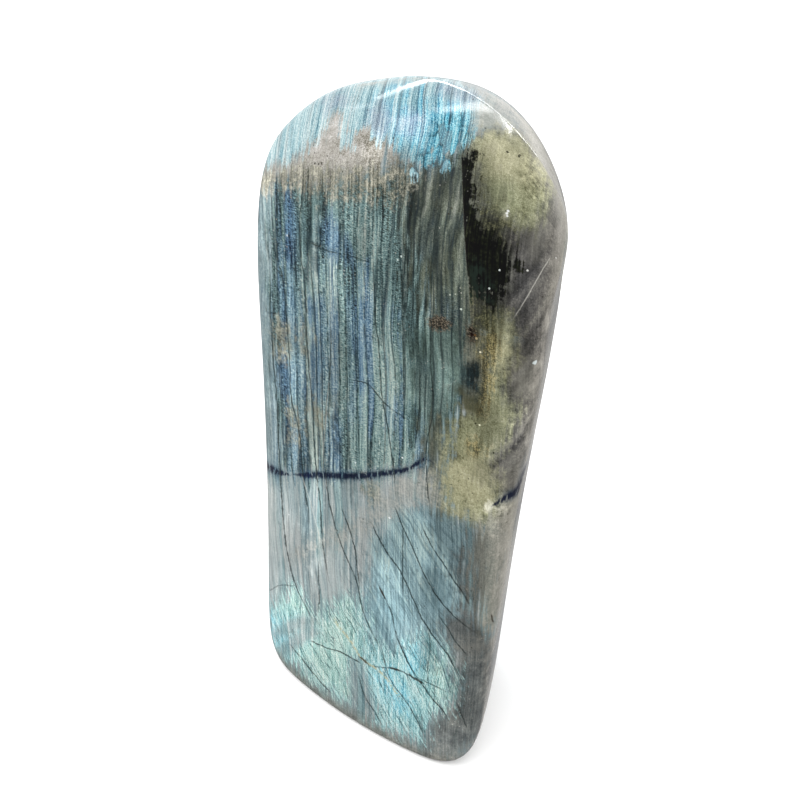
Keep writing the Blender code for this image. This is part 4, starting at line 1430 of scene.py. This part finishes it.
def paper(name, base):
    global TREE
    material = bpy.data.materials.new(name)
    material.use_nodes = True
    TREE = material.node_tree
    shader = TREE.nodes["Principled BSDF"]
    place = node("ShaderNodeTexCoord")
    tone = noise(Value(place.outputs["Object"]), 3.0, 3.0)
    plug(blend(tone, base, tuple(c * 0.985 for c in base)), shader.inputs["Base Color"])
    shader.inputs["Roughness"].default_value = 0.9
    shader.inputs["Specular IOR Level"].default_value = 0.1
    return material


def floor():
    mesh = bpy.data.meshes.new("floor")
    bm = bmesh.new()
    bmesh.ops.create_grid(bm, x_segments=8, y_segments=8, size=4.0)
    bm.to_mesh(mesh)
    bm.free()
    obj = bpy.data.objects.new("floor", mesh)
    obj.location.z = -0.0002
    obj.visible_glossy = False          # the polish mirrors the dimmer light below the horizon instead
    SCENE.collection.objects.link(obj)
    mesh.materials.append(paper("floor_paper", (0.93, 0.93, 0.93)))
    return obj


def panel(name, centre, target, size, watts, along=None, tint=(1.0, 1.0, 1.0), glossy_only=False):
    """A rectangular lamp at centre facing target; along is the direction of its long side."""
    data = bpy.data.lights.new(name, "AREA")
    data.shape = "RECTANGLE"
    data.size, data.size_y = size
    data.energy = watts
    data.color = tint
    obj = bpy.data.objects.new(name, data)
    SCENE.collection.objects.link(obj)
    centre, target = Vector(centre), Vector(target)
    obj.location = centre
    out = (centre - target).normalized()
    side = Vector(along if along else (1.0, 0.0, 0.0))
    side = (side - out * side.dot(out)).normalized()
    turn = out.cross(side)
    axes = Matrix(((side.x, turn.x, out.x), (side.y, turn.y, out.y), (side.z, turn.z, out.z)))
    obj.rotation_euler = axes.to_euler()
    if glossy_only:
        obj.visible_diffuse = False
    return obj


def ribbon(name, directions, width, strength, reach=0.9):
    """Thin lamps end to end that the polished dome mirrors as one streak; strength is in W per square metre."""
    middle = Vector((0.0, 0.0, 0.2))
    points = [middle + Vector(d).normalized() * reach for d in directions]
    for k, (a, b) in enumerate(zip(points, points[1:])):
        length = (b - a).length
        panel(f"{name}_{k}", (a + b) / 2.0, middle, (length, width), strength * length * width, along=b - a,
              glossy_only=True)


def world():
    """White all round; dimmer under the horizon, where only the polish can mirror it."""
    made = bpy.data.worlds.new("studio")
    SCENE.world = made
    made.use_nodes = True
    nodes, links = made.node_tree.nodes, made.node_tree.links
    background = nodes["Background"]
    background.inputs["Color"].default_value = (1.0, 1.0, 1.0, 1.0)
    place = nodes.new("ShaderNodeTexCoord")
    split = nodes.new("ShaderNodeSeparateXYZ")
    links.new(place.outputs["Generated"], split.inputs[0])
    level = nodes.new("ShaderNodeMapRange")
    for name, value in (("From Min", -0.30), ("From Max", -0.12), ("To Min", LOW_LIGHT), ("To Max", HIGH_LIGHT)):
        level.inputs[name].default_value = value
    links.new(split.outputs[2], level.inputs["Value"])
    links.new(level.outputs[0], background.inputs["Strength"])


def camera():
    data = bpy.data.cameras.new("camera")
    data.sensor_width = 36.0
    data.lens = 36.0 * FOCAL_PIXELS / PICTURE
    data.clip_start = 0.01
    obj = bpy.data.objects.new("camera", data)
    SCENE.collection.objects.link(obj)
    back = Vector(view_axes()[2])
    obj.location = (Vector(AIM) + back * DISTANCE) * MM
    obj.rotation_euler = (-back).to_track_quat("-Z", "Y").to_euler()
    SCENE.camera = obj


stone = fine_stone()
line_counts, lone_dots = draw_markings(stone)
stone.data.materials.clear()
stone.data.materials.append(labradorite(line_counts, lone_dots))
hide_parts("stone")
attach(stone, "root")

floor()
world()
panel("key", (-0.5, -0.9, 1.5), (0.0, 0.0, 0.1), (1.2, 1.2), 9.0)
ribbon("dome", [(-0.79, 0.24, 0.56), (-0.76, 0.34, 0.56), (-0.72, 0.47, 0.50), (-0.68, 0.61, 0.40), (-0.65, 0.70, 0.30),
                (-0.59, 0.78, 0.16)], 0.05, 86.0)
ribbon("crest", [(-0.59, 0.78, 0.16), (-0.42, 0.86, 0.29), (-0.33, 0.90, 0.27), (-0.20, 0.95, 0.24), (-0.04, 0.97, 0.20)],
       0.10, 66.0)
ribbon("brow", [(-0.41, 0.31, 0.86), (-0.33, 0.53, 0.78), (-0.27, 0.72, 0.64), (-0.22, 0.80, 0.56), (-0.12, 0.87, 0.48),
                (-0.03, 0.89, 0.46)], 0.08, 92.0)
ribbon("glint", [(-0.11, 0.87, 0.49), (0.0, 0.89, 0.46)], 0.06, 150.0)
ribbon("spine", [(-0.20, 0.96, 0.20), (-0.15, 0.97, 0.17), (-0.11, 0.99, 0.08), (-0.11, 0.99, -0.03)], 0.04, 64.0)
ribbon("forehead", [(-0.66, -0.15, 0.73), (-0.60, -0.11, 0.79), (-0.53, -0.06, 0.85), (-0.46, 0.04, 0.89)], 0.07, 44.0)
ribbon("temple", [(-0.88, 0.06, 0.48), (-0.84, 0.09, 0.53), (-0.80, 0.10, 0.59)], 0.07, 40.0)
camera()
SCENE.view_settings.view_transform = "Standard"
